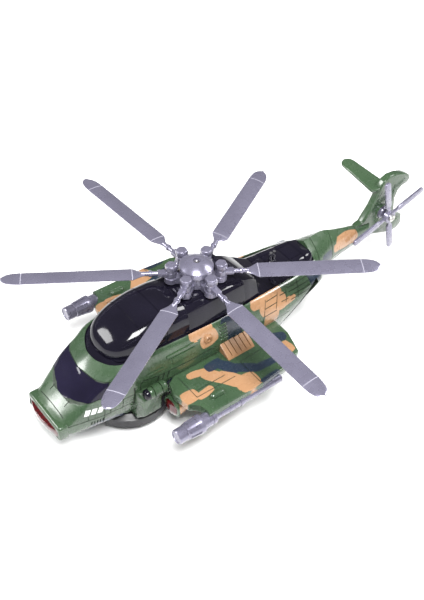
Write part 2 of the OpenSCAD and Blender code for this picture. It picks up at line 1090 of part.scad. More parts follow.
// ---------- rear axle ----------
rear_x = -60;
module rear_bracket() {
  color(black)
    difference() {
      union() {
        translate([rear_x - 7, -14, 16.9])
          cube([13.5, 28, 2.65]);
        for (side = [-1, 1])
          translate([rear_x - 4, side * 10 - 1.5, 5.5])
            cube([8, 3, 12]);
      }
      translate([rear_x, 0, rear_wheel_r])
        rotate([90, 0, 0])
          cylinder(r = 1.5 + run, h = 60, center = true);
    }
}

module rear_wheels() {
  color("dimgray")
    translate([rear_x, 0, rear_wheel_r])
      rotate([90, 0, 0]) {
        cylinder(r = 1.5, h = 42, center = true);
        for (side = [-1, 1])
          translate([0, 0, side * 17])
            difference() {
              cylinder(r = 7.5, h = 6, center = true);
              translate([0, 0, -side * 2.4])
                cylinder(r = 5.8, h = 2, center = true);
            }
      }
}

module rear_tyres() {
  color("black")
    for (side = [-1, 1])
      translate([rear_x, side * 17, rear_wheel_r])
        tyre(rear_wheel_r, 6, 7.5);
}

// ---------- power ----------
cell_r = 7;
cell_pitch = 14.1;
cell_len = 50;
module tray_prism(x, len, half) {
  translate([x, 0, 0])
    rotate([90, 0, 90])
      linear_extrude(len)
        polygon(concat(half, [for (i = [len(half) - 1:-1:0]) [-half[i][0], half[i][1]]]));
}

module battery_tray() {
  color(black)
    difference() {
      tray_prism(door_x[0] - 1, 54.6, [[19, 21.9], [22.9, 26], [22.9, 36.3]]);
      tray_prism(door_x[0] + 0.2, 52.2, [[18.7, 10], [18.7, 22.4], [21.9, 26], [21.9, 35.2]]);
    }
}

module battery_cells() {
  color("goldenrod")
    for (k = [-1, 0, 1])
      translate([door_x[0] + 1.3, k * cell_pitch, 28])
        rotate([0, 90, 0]) {
          cylinder(r = cell_r, h = cell_len - 1.4);
          translate([0, 0, cell_len - 1.5])
            cylinder(r = 2.6, h = 1.5);
        }
}

screw_x = door_x[0] + 5;
module battery_door() {
  color(green)
    difference() {
      translate([door_x[0], -door_half, 18])
        cube([door_x[1] - door_x[0], 2 * door_half, wall]);
      translate([screw_x, 0, 10])
        cylinder(r = 1.3, h = 20);
      translate([screw_x, 0, 10])
        cylinder(r = 2.7, h = 9.1);
      for (x = [-34:5:0])
        translate([x, -9, 17])
          cube([1.6, 18, 1.5]);
    }
}

module door_screw() {
  color(steel)
    translate([screw_x, 0, 0])
      difference() {
        union() {
          translate([0, 0, 18.05])
            cylinder(r = 2.6, h = 1);
          translate([0, 0, 18.5])
            cylinder(r = 1.25, h = 2.3);
        }
        for (a = [0, 90])
          rotate([0, 0, a])
            translate([-1.6, -0.3, 17])
              cube([3.2, 0.6, 1.5]);
      }
}

module switch_body() {
  color(black)
    difference() {
      translate([16, 8.5, 20.9])
        cube([16, 11, 6.4]);
      translate([18, 11.4, 18])
        cube([12, 5.2, 7]);
    }
}

module switch_knob() {
  color("silver")
    translate([18.3, 11.6, 16.2]) {
      cube([5, 4.8, 6]);
      translate([0, 0, 5.4])
        cube([5, 4.8, 2.6]);
    }
}

module circuit_board() {
  color("darkgreen")
    translate([8, -22, 40])
      cube([26, 30, 1.6]);
  color("dimgray")
    translate([20, -10, 41.6 - eps])
      cylinder(r = 10, h = 5);
}

// Screws that hold the floor to the side shells
screw_at = [[12, 16], [-50.3, 15], [84, 9]];
function floor_z(x) = lookup(-x, [for (q = stations) [-q[0], q[1]]]);
module case_screws() {
  color(steel)
    for (p = screw_at, side = [-1, 1])
      translate([p[0], side * p[1], floor_z(p[0])])
        difference() {
          union() {
            translate([0, 0, -1.1 - gap])
              cylinder(r = 2.4, h = 1);
            translate([0, 0, -0.2 - gap])
              cylinder(r = 1.2, h = 7);
          }
          for (a = [0, 90])
            rotate([0, 0, a])
              translate([-1.5, -0.3, -2])
                cube([3, 0.6, 1.4]);
        }
}

module place() {
  translate([mid_x, 0, 0])
    children();
}

place() lower_hull();
place() side_shell_left();
place() side_shell_right();
place() nose_cap();
place() nose_lens();
place() windscreen();
place() forehead();
place() canopy();
place() canopy_rim();
place() engine_deck();
place() tail_cover();
place() cover_pins();
place() tail_boom();
place() tail_fin();
place() stabilizer();
place() tail_gearbox();
place() tail_rotor();
place() tail_rotor_screw();
place() wing_left();
place() wing_right();
place() wing_lamps();
place() gun_left();
place() gun_right();
place() side_pods();
place() pod_lenses();
place() gear_frame();
place() rotor_motor();
place() motor_pinion();
place() idler_gear();
place() idler_pin();
place() mast();
place() mast_gear();
place() rotor_hub();
place() hub_cap();
place() cap_screw();
place() hinge_bolts();
place() blade_1();
place() blade_2();
place() blade_3();
place() blade_4();
place() blade_5();
place() blade_6();
place() turntable();
place() turntable_ring();
place() drive_motor();
place() drive_pinion();
place() drive_idler();
place() drive_wheels();
place() drive_tyres();
place() rear_bracket();
place() rear_wheels();
place() rear_tyres();
place() battery_tray();
place() battery_cells();
place() battery_door();
place() door_screw();
place() switch_body();
place() switch_knob();
place() circuit_board();
place() case_screws();
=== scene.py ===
"""Looks of the toy helicopter, in the CAD frame. Lengths are in millimetres from the rotor axis and
the floor, +X to the nose and +Y to port, and at() turns them into metres in the frame's place."""
import math

import bmesh
import bpy
from mathutils import Matrix, Vector
from mathutils.bvhtree import BVHTree


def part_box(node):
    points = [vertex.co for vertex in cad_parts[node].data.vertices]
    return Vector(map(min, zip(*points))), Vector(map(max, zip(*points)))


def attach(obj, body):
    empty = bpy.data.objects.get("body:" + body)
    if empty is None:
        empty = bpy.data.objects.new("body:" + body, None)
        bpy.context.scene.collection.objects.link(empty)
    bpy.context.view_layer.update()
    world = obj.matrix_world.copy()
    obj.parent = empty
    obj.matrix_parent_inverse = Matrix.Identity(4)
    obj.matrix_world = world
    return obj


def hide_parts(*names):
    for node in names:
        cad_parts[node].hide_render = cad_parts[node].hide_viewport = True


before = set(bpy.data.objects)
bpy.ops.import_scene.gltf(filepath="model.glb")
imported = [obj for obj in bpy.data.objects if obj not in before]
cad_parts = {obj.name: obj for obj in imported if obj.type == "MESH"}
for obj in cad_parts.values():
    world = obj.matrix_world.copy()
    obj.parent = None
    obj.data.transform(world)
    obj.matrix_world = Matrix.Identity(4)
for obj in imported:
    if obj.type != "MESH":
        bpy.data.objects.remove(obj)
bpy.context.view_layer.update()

MM = 0.001
mast_low, mast_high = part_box("mast")
ROTOR_X = (mast_low.x + mast_high.x) / 2
WALL = 2.0


def at(x, y, z):
    return Vector((x * MM + ROTOR_X, y * MM, z * MM))


# ---------- mesh helpers ----------
def solid(name, points, faces):
    """A mesh object from points in millimetres."""
    mesh = bpy.data.meshes.new(name)
    mesh.from_pydata([at(*p) for p in points], [], faces)
    mesh.update()
    obj = bpy.data.objects.new(name, mesh)
    bpy.context.collection.objects.link(obj)
    bm = bmesh.new()
    bm.from_mesh(mesh)
    bmesh.ops.recalc_face_normals(bm, faces=bm.faces)
    bm.to_mesh(mesh)
    bm.free()
    return obj


def skinned(name, rings):
    """Closed rings of equal length, joined into one closed solid."""
    count = len(rings[0])
    points = [p for ring in rings for p in ring]
    faces = [list(range(count)), [len(points) - count + i for i in range(count)]]
    for r in range(len(rings) - 1):
        for i in range(count):
            j = (i + 1) % count
            faces.append([r * count + i, r * count + j, (r + 1) * count + j, (r + 1) * count + i])
    return solid(name, points, faces)


def prism(name, outline, axis, low, high):
    """An outline in the two axes left over, in order, pushed along axis from low to high."""
    rings = []
    for level in (low, high):
        if axis == "x":
            rings.append([(level, a, b) for a, b in outline])
        elif axis == "y":
            rings.append([(a, level, b) for a, b in outline])
        else:
            rings.append([(a, b, level) for a, b in outline])
    return skinned(name, rings)


def block(name, low, high):
    corners = [(low[0], low[1]), (high[0], low[1]), (high[0], high[1]), (low[0], high[1])]
    return prism(name, corners, "z", low[2], high[2])


def turned(name, profile, start, along, sides=48):
    """A turned part: profile is (distance along, radius) from start in the direction along."""
    line = Vector(along).normalized()
    side = line.orthogonal().normalized()
    other = line.cross(side)
    rings = []
    for distance, radius in profile:
        centre = Vector(start) + line * distance
        ring = []
        for i in range(sides):
            angle = 2 * math.pi * i / sides
            reach = side * math.cos(angle) + other * math.sin(angle)
            ring.append(tuple(centre + reach * max(radius, 0.01)))
        rings.append(ring)
    return skinned(name, rings)


def rod(name, start, end, radius, sides=16):
    """A round bar with softly broken ends."""
    length = (Vector(end) - Vector(start)).length
    soft = min(0.3 * radius, 0.2 * length)
    profile = [(0, radius - soft), (soft, radius), (length - soft, radius), (length, radius - soft)]
    return turned(name, profile, start, Vector(end) - Vector(start), sides)


def capsule(name, start, end, radius, sides=32):
    length = (Vector(end) - Vector(start)).length
    steps = [math.radians(10 + 16 * i) for i in range(6)]
    profile = [(radius - radius * math.cos(a), radius * math.sin(a)) for a in steps]
    profile += [(length - d, r) for d, r in reversed(profile)]
    return turned(name, profile, start, Vector(end) - Vector(start), sides)


def applied(obj):
    """Bakes the modifiers of obj into its mesh."""
    depsgraph = bpy.context.evaluated_depsgraph_get()
    mesh = bpy.data.meshes.new_from_object(obj.evaluated_get(depsgraph))
    old = obj.data
    obj.modifiers.clear()
    obj.data = mesh
    bpy.data.meshes.remove(old)
    return obj


def boolean(obj, operation, tools, keep=False):
    """obj with each tool added, cut away or intersected. The tools go unless keep is set."""
    for tool in tools if isinstance(tools, (list, tuple)) else [tools]:
        modifier = obj.modifiers.new("boolean", "BOOLEAN")
        modifier.operation = operation
        modifier.solver = "MANIFOLD"
        modifier.object = tool
        applied(obj)
        if not keep:
            bpy.data.objects.remove(tool)
    return obj


def cut(obj, *tools, keep=False):
    return boolean(obj, "DIFFERENCE", tools, keep)


def common(obj, *tools, keep=False):
    return boolean(obj, "INTERSECT", tools, keep)


def fuse(obj, *tools):
    return boolean(obj, "UNION", tools)


def copy_of(obj, name):
    twin = obj.copy()
    twin.data = obj.data.copy()
    twin.name = name
    bpy.context.collection.objects.link(twin)
    return twin


def joined(name, objs):
    """Several closed shells as one object."""
    bm = bmesh.new()
    slots = []
    for obj in objs:
        start = len(bm.faces)
        bm.from_mesh(obj.data)
        bm.faces.ensure_lookup_table()
        names = list(obj.data.materials)
        for face in bm.faces[start:]:
            paint = names[face.material_index] if names else None
            if paint not in slots:
                slots.append(paint)
            face.material_index = slots.index(paint)
    mesh = bpy.data.meshes.new(name)
    bm.to_mesh(mesh)
    bm.free()
    for paint in slots:
        mesh.materials.append(paint)
    for obj in objs:
        bpy.data.objects.remove(obj)
    result = bpy.data.objects.new(name, mesh)
    bpy.context.collection.objects.link(result)
    return result


def mirrored(obj, name):
    """A copy on the other side of the middle plane."""
    twin = copy_of(obj, name)
    bm = bmesh.new()
    bm.from_mesh(twin.data)
    for vert in bm.verts:
        vert.co.y = -vert.co.y
    bmesh.ops.reverse_faces(bm, faces=bm.faces)
    bm.to_mesh(twin.data)
    bm.free()
    return twin


def moved(obj, matrix):
    """Turns or shifts a mesh by a matrix given in millimetres about the rotor axis."""
    place = Matrix.Translation((ROTOR_X, 0, 0)) @ Matrix.Scale(MM, 4)
    obj.data.transform(place @ matrix @ place.inverted())
    return obj


def bevelled(obj, width, segments=2, limit=35):
    modifier = obj.modifiers.new("bevel", "BEVEL")
    modifier.width = width * MM
    modifier.segments = segments
    modifier.limit_method = "ANGLE"
    modifier.angle_limit = math.radians(limit)
    return applied(obj)


def smoothed(obj, limit=32):
    """Smooth shading with edges sharper than the limit kept."""
    bm = bmesh.new()
    bm.from_mesh(obj.data)
    bmesh.ops.remove_doubles(bm, verts=bm.verts, dist=0.005 * MM)
    bmesh.ops.dissolve_degenerate(bm, edges=bm.edges, dist=0.002 * MM)
    for face in bm.faces:
        face.smooth = True
    for edge in bm.edges:
        edge.smooth = len(edge.link_faces) == 2 and edge.calc_face_angle(0) < math.radians(limit)
    bm.to_mesh(obj.data)
    bm.free()
    return obj


def finished(obj, node, body, paint=None, limit=32):
    """Shades obj, paints it, and lets it stand for a CAD node on that body."""
    smoothed(obj, limit)
    slots = obj.data.materials
    if not slots:
        slots.append(paint)
    for index, old in enumerate(slots):
        slots[index] = old or paint
    nodes = node if isinstance(node, (list, tuple)) else [node]
    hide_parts(*nodes)
    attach(obj, body)
    return obj


# ---------- materials ----------
class Paint:
    """A node material built up from small steps."""

    def __init__(self, name):
        self.material = bpy.data.materials.new(name)
        self.material.use_nodes = True
        self.nodes = self.material.node_tree.nodes
        self.links = self.material.node_tree.links
        self.shader = self.nodes["Principled BSDF"]
        self.place = self.nodes.new("ShaderNodeTexCoord").outputs["Object"]

    def set(self, **values):
        for key, value in values.items():
            self.shader.inputs[key.replace("_", " ")].default_value = value
        return self

    def put(self, value, socket):
        if isinstance(value, bpy.types.NodeSocket):
            self.links.new(value, socket)
        else:
            socket.default_value = value

    def maths(self, operation, a, b=0.0):
        node = self.nodes.new("ShaderNodeMath")
        node.operation = operation
        self.put(a, node.inputs[0])
        self.put(b, node.inputs[1])
        return node.outputs[0]

    def noise(self, size, detail=2.0, stretch=(1, 1, 1)):
        """Noise whose grain is about size millimetres."""
        scaled = self.nodes.new("ShaderNodeMapping")
        scaled.inputs["Scale"].default_value = stretch
        self.links.new(self.place, scaled.inputs["Vector"])
        node = self.nodes.new("ShaderNodeTexNoise")
        node.inputs["Scale"].default_value = 1000 / size
        node.inputs["Detail"].default_value = detail
        self.links.new(scaled.outputs[0], node.inputs["Vector"])
        return node.outputs["Fac"]

    def ramp(self, value, low, high, first=0.0, last=1.0):
        node = self.nodes.new("ShaderNodeMapRange")
        self.put(value, node.inputs["Value"])
        for socket, number in zip(("From Min", "From Max", "To Min", "To Max"), (low, high, first, last)):
            node.inputs[socket].default_value = number
        return node.outputs["Result"]

    def mix(self, amount, a, b):
        node = self.nodes.new("ShaderNodeMix")
        node.data_type = "RGBA"
        self.put(amount, node.inputs["Factor"])
        for value, socket in ((a, node.inputs[6]), (b, node.inputs[7])):
            self.put((*value, 1) if isinstance(value, tuple) else value, socket)
        return node.outputs[2]

    def colour(self, value):
        self.put((*value, 1) if isinstance(value, tuple) else value, self.shader.inputs["Base Color"])
        return self

    def rough(self, low, high, size):
        """Roughness that wanders between low and high."""
        self.put(self.ramp(self.noise(size, 4), 0.3, 0.7, low, high), self.shader.inputs["Roughness"])
        return self

    def bumps(self, *layers):
        """Layers of (height value or grain size, depth in millimetres)."""
        normal = None
        for height, depth in layers:
            node = self.nodes.new("ShaderNodeBump")
            node.inputs["Distance"].default_value = depth * MM
            source = height if isinstance(height, bpy.types.NodeSocket) else self.noise(height, 3)
            self.put(source, node.inputs["Height"])
            if normal:
                self.put(normal, node.inputs["Normal"])
            normal = node.outputs["Normal"]
        self.put(normal, self.shader.inputs["Normal"])
        return self

    def side_view(self, side=("x", "z"), wander=1.2):
        """Coordinates in millimetres in a flat view of the frame, with a slightly wandering edge."""
        split = self.nodes.new("ShaderNodeSeparateXYZ")
        self.links.new(self.place, split.inputs[0])
        merge = self.nodes.new("ShaderNodeCombineXYZ")
        shaken = self.ramp(self.noise(14, 1), 0, 1, -wander, wander)
        for index, axis in enumerate(side):
            value = split.outputs["xyz".index(axis)]
            if axis == "x":
                value = self.maths("SUBTRACT", value, ROTOR_X)
            if axis == "y":
                value = self.maths("ABSOLUTE", value)
            value = self.maths("MULTIPLY", value, 1 / MM)
            value = self.maths("ADD", value, shaken)
            self.links.new(value, merge.inputs[index])
        return merge.outputs[0]

    def patches(self, view, ovals):
        """1 inside any of the ovals (centre a, centre b, radius a, radius b, turn in degrees)."""
        nearest = None
        for a, b, radius_a, radius_b, turn in ovals:
            oval = self.nodes.new("ShaderNodeMapping")
            oval.vector_type = "TEXTURE"
            oval.inputs["Location"].default_value = (a, b, 0)
            oval.inputs["Rotation"].default_value = (0, 0, math.radians(turn))
            oval.inputs["Scale"].default_value = (radius_a, radius_b, 1)
            self.links.new(view, oval.inputs["Vector"])
            length = self.nodes.new("ShaderNodeVectorMath")
            length.operation = "LENGTH"
            self.links.new(oval.outputs[0], length.inputs[0])
            split = self.nodes.new("ShaderNodeSeparateXYZ")
            self.links.new(oval.outputs[0], split.inputs[0])
            across, up = (self.maths("ABSOLUTE", split.outputs[i]) for i in (0, 1))
            boxy = self.maths("MULTIPLY", self.maths("MAXIMUM", across, up), 1.06)
            reach = self.maths("MULTIPLY", self.maths("ADD", length.outputs["Value"], boxy), 0.5)
            nearest = self.maths("MINIMUM", nearest, reach) if nearest else reach
        return self.ramp(nearest, 1.0, 0.97)


GREEN = (0.040, 0.076, 0.036)
GREEN_DEEP = (0.027, 0.055, 0.026)
TAN = (0.30, 0.160, 0.078)
NAVY = (0.010, 0.018, 0.034)
# Painted shade: a dark green laid on groove, slot and cut faces in place of their shadow
SHADE_TONE = (0.010, 0.020, 0.010)


def shell_green(name, tan=(), navy=(), side=("x", "z")):
    """Moulded green plastic with printed tan and navy patches seen in one flat view."""
    paint = Paint(name)
    colour = paint.mix(paint.ramp(paint.noise(26, 3), 0.35, 0.7), GREEN_DEEP, GREEN)
    if tan or navy:
        view = paint.side_view(side)
        if tan:
            worn = paint.mix(paint.noise(9, 3), TAN, (0.35, 0.195, 0.10))
            colour = paint.mix(paint.patches(view, tan), colour, worn)
        if navy:
            deep = paint.mix(paint.noise(9, 3), NAVY, (0.015, 0.026, 0.044))
            colour = paint.mix(paint.patches(view, navy), colour, deep)
    specks = paint.ramp(paint.noise(0.35, 0), 0.70, 0.76)
    colour = paint.mix(paint.maths("MULTIPLY", specks, 0.12), colour, (0.35, 0.42, 0.33))
    paint.colour(colour).rough(0.20, 0.34, 7).set(Coat_Weight=0.35, Coat_Roughness=0.12)
    return paint.bumps((1.4, 0.012), (9, 0.05)).material


# Painted shade for grooves: dark green with a little noise, put where the shadow in grooves and slots falls
def painted_groove_shade():
    paint = Paint("painted_groove_shade")
    colour = paint.mix(paint.noise(3, 2), SHADE_TONE, (0.02, 0.035, 0.018))
    return paint.colour(colour).rough(0.45, 0.7, 2).bumps((0.8, 0.01)).material


def gloss_black(name, tint=(0.008, 0.007, 0.014)):
    """Polished moulded black with a violet cast, faint flow marks and dust."""
    paint = Paint(name)
    colour = paint.mix(paint.ramp(paint.noise(30, 2), 0.3, 0.7), tint, tuple(0.6 * c for c in tint))
    dust = paint.ramp(paint.noise(0.4, 1), 0.72, 0.8)
    colour = paint.mix(paint.maths("MULTIPLY", dust, 0.10), colour, (0.2, 0.2, 0.22))
    paint.set(Coat_Weight=0.1, Coat_Roughness=0.04, Specular_IOR_Level=0.22)
    paint.colour(colour).rough(0.06, 0.13, 9)
    return paint.bumps((22, 0.05), (1.2, 0.003)).material


def satin(name, tint, low=0.35, high=0.55, grain=0.5, depth=0.012):
    """Plain moulded plastic with a fine spark-eroded grain."""
    paint = Paint(name)
    colour = paint.mix(paint.ramp(paint.noise(12, 3), 0.3, 0.7), tint, tuple(0.78 * c for c in tint))
    return paint.colour(colour).rough(low, high, 4).bumps((grain, depth), (6, 0.02)).material


def metallic_lilac():
    """Silver-lilac paint with fine flakes over moulded plastic."""
    paint = Paint("silver_lilac")
    base = paint.mix(paint.ramp(paint.noise(18, 3), 0.3, 0.7), (0.160, 0.152, 0.212), (0.195, 0.186, 0.255))
    flakes = paint.ramp(paint.noise(0.22, 0), 0.60, 0.75)
    colour = paint.mix(paint.maths("MULTIPLY", flakes, 0.35), base, (0.32, 0.31, 0.38))
    paint.colour(colour).rough(0.22, 0.34, 5).set(Metallic=0.5, Coat_Weight=0.5, Coat_Roughness=0.12)
    return paint.bumps((0.25, 0.004), (7, 0.03)).material


def metal(name, tint, low, high, stretch=(1, 1, 1), grain=0.5):
    """Bare or plated metal with fine marks."""
    paint = Paint(name)
    marks = paint.noise(grain, 4, stretch)
    colour = paint.mix(paint.ramp(marks, 0.3, 0.7), tint, tuple(0.82 * c for c in tint))
    paint.colour(colour).set(Metallic=1.0)
    paint.put(paint.ramp(marks, 0.2, 0.8, low, high), paint.shader.inputs["Roughness"])
    return paint.bumps((marks, 0.006), (5, 0.01)).material


def red_lens():
    """Dark red tinted lens with a fluted inside."""
    paint = Paint("red_lens")
    wave = paint.nodes.new("ShaderNodeTexWave")
    wave.bands_direction = "Y"
    wave.inputs["Scale"].default_value = 90
    wave.inputs["Distortion"].default_value = 0.6
    paint.links.new(paint.place, wave.inputs["Vector"])
    colour = paint.mix(wave.outputs["Fac"], (0.035, 0.0008, 0.002), (0.07, 0.001, 0.003))
    paint.colour(colour).rough(0.05, 0.12, 5).set(Coat_Weight=0.8, Coat_Roughness=0.03)
    return paint.bumps((wave.outputs["Fac"], 0.015), (4, 0.01)).material


def rubber():
    paint = Paint("rubber")
    colour = paint.mix(paint.noise(6, 3), (0.012, 0.012, 0.013), (0.03, 0.03, 0.03))
    return paint.colour(colour).rough(0.6, 0.85, 2).bumps((0.6, 0.03), (3, 0.03)).material


def printed_sleeve():
    """Battery sleeve: a coppery end and a black band, with no lettering."""
    paint = Paint("cell_sleeve")
    split = paint.nodes.new("ShaderNodeSeparateXYZ")
    paint.links.new(paint.place, split.inputs[0])
    banded = paint.maths("GREATER_THAN", split.outputs[0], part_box("battery_cells")[1].x - 16 * MM)
    worn = paint.mix(paint.noise(4, 3), (0.02, 0.02, 0.022), (0.035, 0.035, 0.04))
    copper = paint.mix(paint.noise(3, 3), (0.50, 0.26, 0.08), (0.60, 0.33, 0.12))
    colour = paint.mix(banded, worn, copper)
    return paint.colour(colour).rough(0.2, 0.35, 3).set(Metallic=0.4).bumps((2, 0.01)).material


def board_green():
    paint = Paint("circuit_board")
    tracks = paint.nodes.new("ShaderNodeTexBrick")
    tracks.inputs["Scale"].default_value = 260
    tracks.inputs["Mortar Size"].default_value = 0.03
    paint.links.new(paint.place, tracks.inputs["Vector"])
    colour = paint.mix(tracks.outputs["Fac"], (0.01, 0.10, 0.03), (0.03, 0.20, 0.07))
    return paint.colour(colour).rough(0.3, 0.5, 2).bumps((tracks.outputs["Fac"], 0.03)).material


def white_print():
    paint = Paint("white_print")
    colour = paint.mix(paint.noise(2, 3), (0.78, 0.79, 0.76), (0.66, 0.68, 0.64))
    return paint.colour(colour).rough(0.3, 0.45, 2).bumps((0.6, 0.008)).material


# Printed patches as ovals: centre, radii and turn, on the hull side in (x, z)
SIDE_TAN = [(8.5, 59.5, 8.0, 5.8, -12), (14, 67, 11, 3.6, 0), (-47, 63.5, 16.5, 4.6, 2),
            (-52, 57, 14, 6.5, 6), (-49, 49, 7.5, 8.5, 20), (-66, 53.6, 8.5, 2.6, -4),
            (-147, 58.5, 15, 6.0, 12), (-136, 59, 7, 3.5, 0)]
SIDE_NAVY = [(-11.5, 58.5, 7.4, 11.5, -20), (-97, 59, 6.5, 6.5, 0), (-120.5, 57.5, 7.0, 4.6, 0),
             (88, 22, 14, 6, 10), (30, 34, 18, 7, 12)]
# The same on the wing in (x, distance from the middle)
WING_TAN = [(25, 38.5, 9, 2.9, -8), (17, 46, 9.5, 5.4, 125), (9, 55, 10.5, 6.2, 125),
            (1, 64, 9.5, 7.4, 0), (41, 51.5, 7, 5.6, 0), (31, 54.5, 8, 3.3, 8),
            (-42, 55, 5.5, 6.2, 0)]
WING_NAVY = [(11, 38.5, 7.6, 4.0, 0), (3.5, 45.5, 9, 4.6, 125), (-6, 53, 9.5, 4.6, 145),
             (-19, 58.5, 12, 3.4, 175), (-15, 69, 9, 2.5, 0), (-40, 42, 11, 5, 155)]

GROOVE_SHADE_PAINT = painted_groove_shade()
SHELL = shell_green("green_shell", SIDE_TAN, SIDE_NAVY)
PLAIN = shell_green("green_plain")
WING = shell_green("green_wing", WING_TAN, WING_NAVY, ("x", "y"))
BLACK = gloss_black("black_gloss")
SCREEN_BLACK = gloss_black("screen_gloss", (0.012, 0.010, 0.026))
SATIN_BLACK = satin("black_satin", (0.018, 0.018, 0.021), 0.25, 0.4)
LILAC = metallic_lilac()
LENS = red_lens()
TAN_PANEL = satin("tan_panel", (0.31, 0.165, 0.08), 0.28, 0.4)
PALE_LINE = satin("pale_line", (0.36, 0.35, 0.42), 0.3, 0.4)
GREY = satin("grey_plastic", (0.10, 0.10, 0.11))
WHITE = white_print()


# ---------- smooth forms from the CAD's own stations ----------
def eased(rows, step):
    """A smooth, never overshooting curve through rows of numbers, sampled about every step mm."""
    knots = [0.0]
    for before, after in zip(rows, rows[1:]):
        knots.append(knots[-1] + math.dist(before[:3], after[:3]))
    columns = list(zip(*rows))
    slopes = []
    for column in columns:
        rise = [(column[i + 1] - column[i]) / (knots[i + 1] - knots[i]) for i in range(len(rows) - 1)]
        inner = [0 if a * b <= 0 else 2 * a * b / (a + b) for a, b in zip(rise, rise[1:])]
        slopes.append([rise[0]] + inner + [rise[-1]])
    result = []
    for i in range(len(rows) - 1):
        span = knots[i + 1] - knots[i]
        count = max(1, round(span / step))
        for k in range(count):
            t = k / count
            a, b = 2 * t**3 - 3 * t**2 + 1, t**3 - 2 * t**2 + t
            c, d = 3 * t**2 - 2 * t**3, t**3 - t**2
            result.append([a * column[i] + b * span * slope[i] + c * column[i + 1] + d * span * slope[i + 1]
                           for column, slope in zip(columns, slopes)])
    return result + [list(rows[-1])]


def bent(control, pieces=6):
    """A rounded line through the middles of a control line."""
    line = [Vector(p) for p in control]
    middles = [line[0]] + [(a + b) / 2 for a, b in zip(line[1:], line[2:-1])] + [line[-1]]
    points = []
    for a, b, c in zip(middles, line[1:], middles[1:]):
        for k in range(pieces):
            t = k / pieces
            points.append(a * (1 - t) ** 2 + b * 2 * t * (1 - t) + c * t**2)
    return points + [line[-1]]


def both_halves(x, half):
    return [(x, y, z) for y, z in half] + [(x, -y, z) for y, z in half[-2:0:-1]]


# Stations: x, floor z, floor half width, belt z, belt half width, top z, top half width, crown
BODY = [[121, 24, 16.5, 30, 19.6, 34.5, 17, 1.5], [117, 22.5, 17, 30, 20, 36.5, 17.5, 1.5],
        [113, 21, 18, 30, 20.8, 39.5, 18.5, 1.5], [107, 20, 19, 32, 22.2, 44, 20.5, 2],
        [96, 19, 20.5, 36, 25, 56, 21.5, 4], [84, 18.5, 22, 41, 27.6, 63.5, 22.5, 4],
        [74, 18, 23.5, 44, 29, 68.5, 24.5, 2], [57, 18, 25, 46, 30.4, 71.5, 25.6, 1],
        [20, 18, 25, 46, 31.6, 69.5, 25.8, 1], [-28, 18, 25, 46, 31.6, 67, 24.2, 1],
        [-60, 20, 24, 47, 30.6, 65, 21.8, 1], [-80, 29, 21, 49, 28.6, 64, 20.2, 1],
        [-104, 42, 14, 54, 24, 64.5, 15.5, 5]]


def body(name, inset, first=121.0, last=-104.0):
    """The closed body form, drawn in by inset."""
    rings = []
    for x, z0, w0, zb, wb, zt, wt, crown in eased(BODY, 2.5):
        z0, w0, wb, zt, wt = z0 + inset, w0 - 0.8 * inset, wb - inset, zt - inset, wt - 0.8 * inset
        half = bent([(0, z0), (w0 - 3, z0), (w0 + 1.5, z0 + 2.5), (wb, zb - 5), (wb, zb + 4),
                     (wt + 1.5, zt - 3), (wt - 2.5, zt + 0.6), (0, zt + crown)])
        rings.append(both_halves(min(first, max(last, x)), half))
    rings = [ring for i, ring in enumerate(rings) if i == 0 or ring[0][0] < rings[i - 1][0][0]]
    return skinned(name, rings)


def layer(name, outside, inside):
    """The layer of the body's skin between two depths."""
    return cut(body(name, -outside, 130, -110), body("inside", inside, 130, -110))


body_tree = BVHTree.FromObject(body("body_probe", 0), bpy.context.evaluated_depsgraph_get())
bpy.data.objects.remove(bpy.data.objects["body_probe"])


def side_y(x, z):
    """Distance of the body's side from the middle plane."""
    hit = body_tree.ray_cast(at(x, 80, z), Vector((0, -1, 0)))[0]
    return hit.y / MM


def stroke(start, end, width):
    """The four corners of a straight stroke in a flat view."""
    a, b = Vector(start), Vector(end)
    side = (b - a).normalized().orthogonal() * width / 2
    return [tuple(a + side), tuple(b + side), tuple(b - side), tuple(a - side)]


def strokes(points, width, closed=False):
    ends = points[1:] + points[:1] if closed else points[1:]
    return [stroke(a, b, width) for a, b in zip(points, ends)]


def shade_below_surface(tree, obj, paint, low=0.12, high=1.6):
    """Gives the faces under the outer surface the given paint, the painted shade of grooves, slots and cut
    faces.
    """
    obj.data.materials.append(paint)
    index = len(obj.data.materials) - 1
    for face in obj.data.polygons:
        nearest, normal = tree.find_nearest(face.center)[:2]
        depth = (nearest - face.center).dot(normal) / MM
        if low < depth < high:
            face.material_index = index


# Side-view outlines that divide the skin, as in the CAD
SCREEN_EDGE = [(109.5, 43.2), (106.6, 45.1), (102.8, 47.8), (96.6, 49.6), (91.5, 50.2), (85.5, 60.5)]
BROW_EDGE = [(85.5, 60.5), (92, 59.8), (95.2, 60.6), (97, 62.4)]
SCREEN_SIDE = SCREEN_EDGE + BROW_EDGE[1:] + [(113, 50)]
BROW_SIDE = BROW_EDGE[::-1] + [(78, 57), (66, 64), (66, 90), (97, 90)]
WINDOW_SIDE = [(-63, 30), (-80, 47), (-98, 57), (-101, 51), (-91, 42)]
PLAN = [[86, 0], [85.3, 5], [83.3, 10], [79.8, 16], [74.5, 20.6], [66, 23.4], [56, 24.3], [8, 24.3],
        [-10, 23.7], [-30, 22.1], [-57, 19.6], [-73, 18.7], [-95, 16], [-106, 13]]
BOTH_SIDES = (-60, 60)
SPLIT_X = 92
SPLIT_Z = 44


def deck_outline(inset):
    half = [(x - inset if x > 50 else x + inset, max(0.0, y - inset)) for x, y in eased(PLAN, 2)]
    return half + [(x, -y) for x, y in half[:0:-1]]


def deck_prism(inset, low, high):
    return prism("deck_area", deck_outline(inset), "z", low, high)


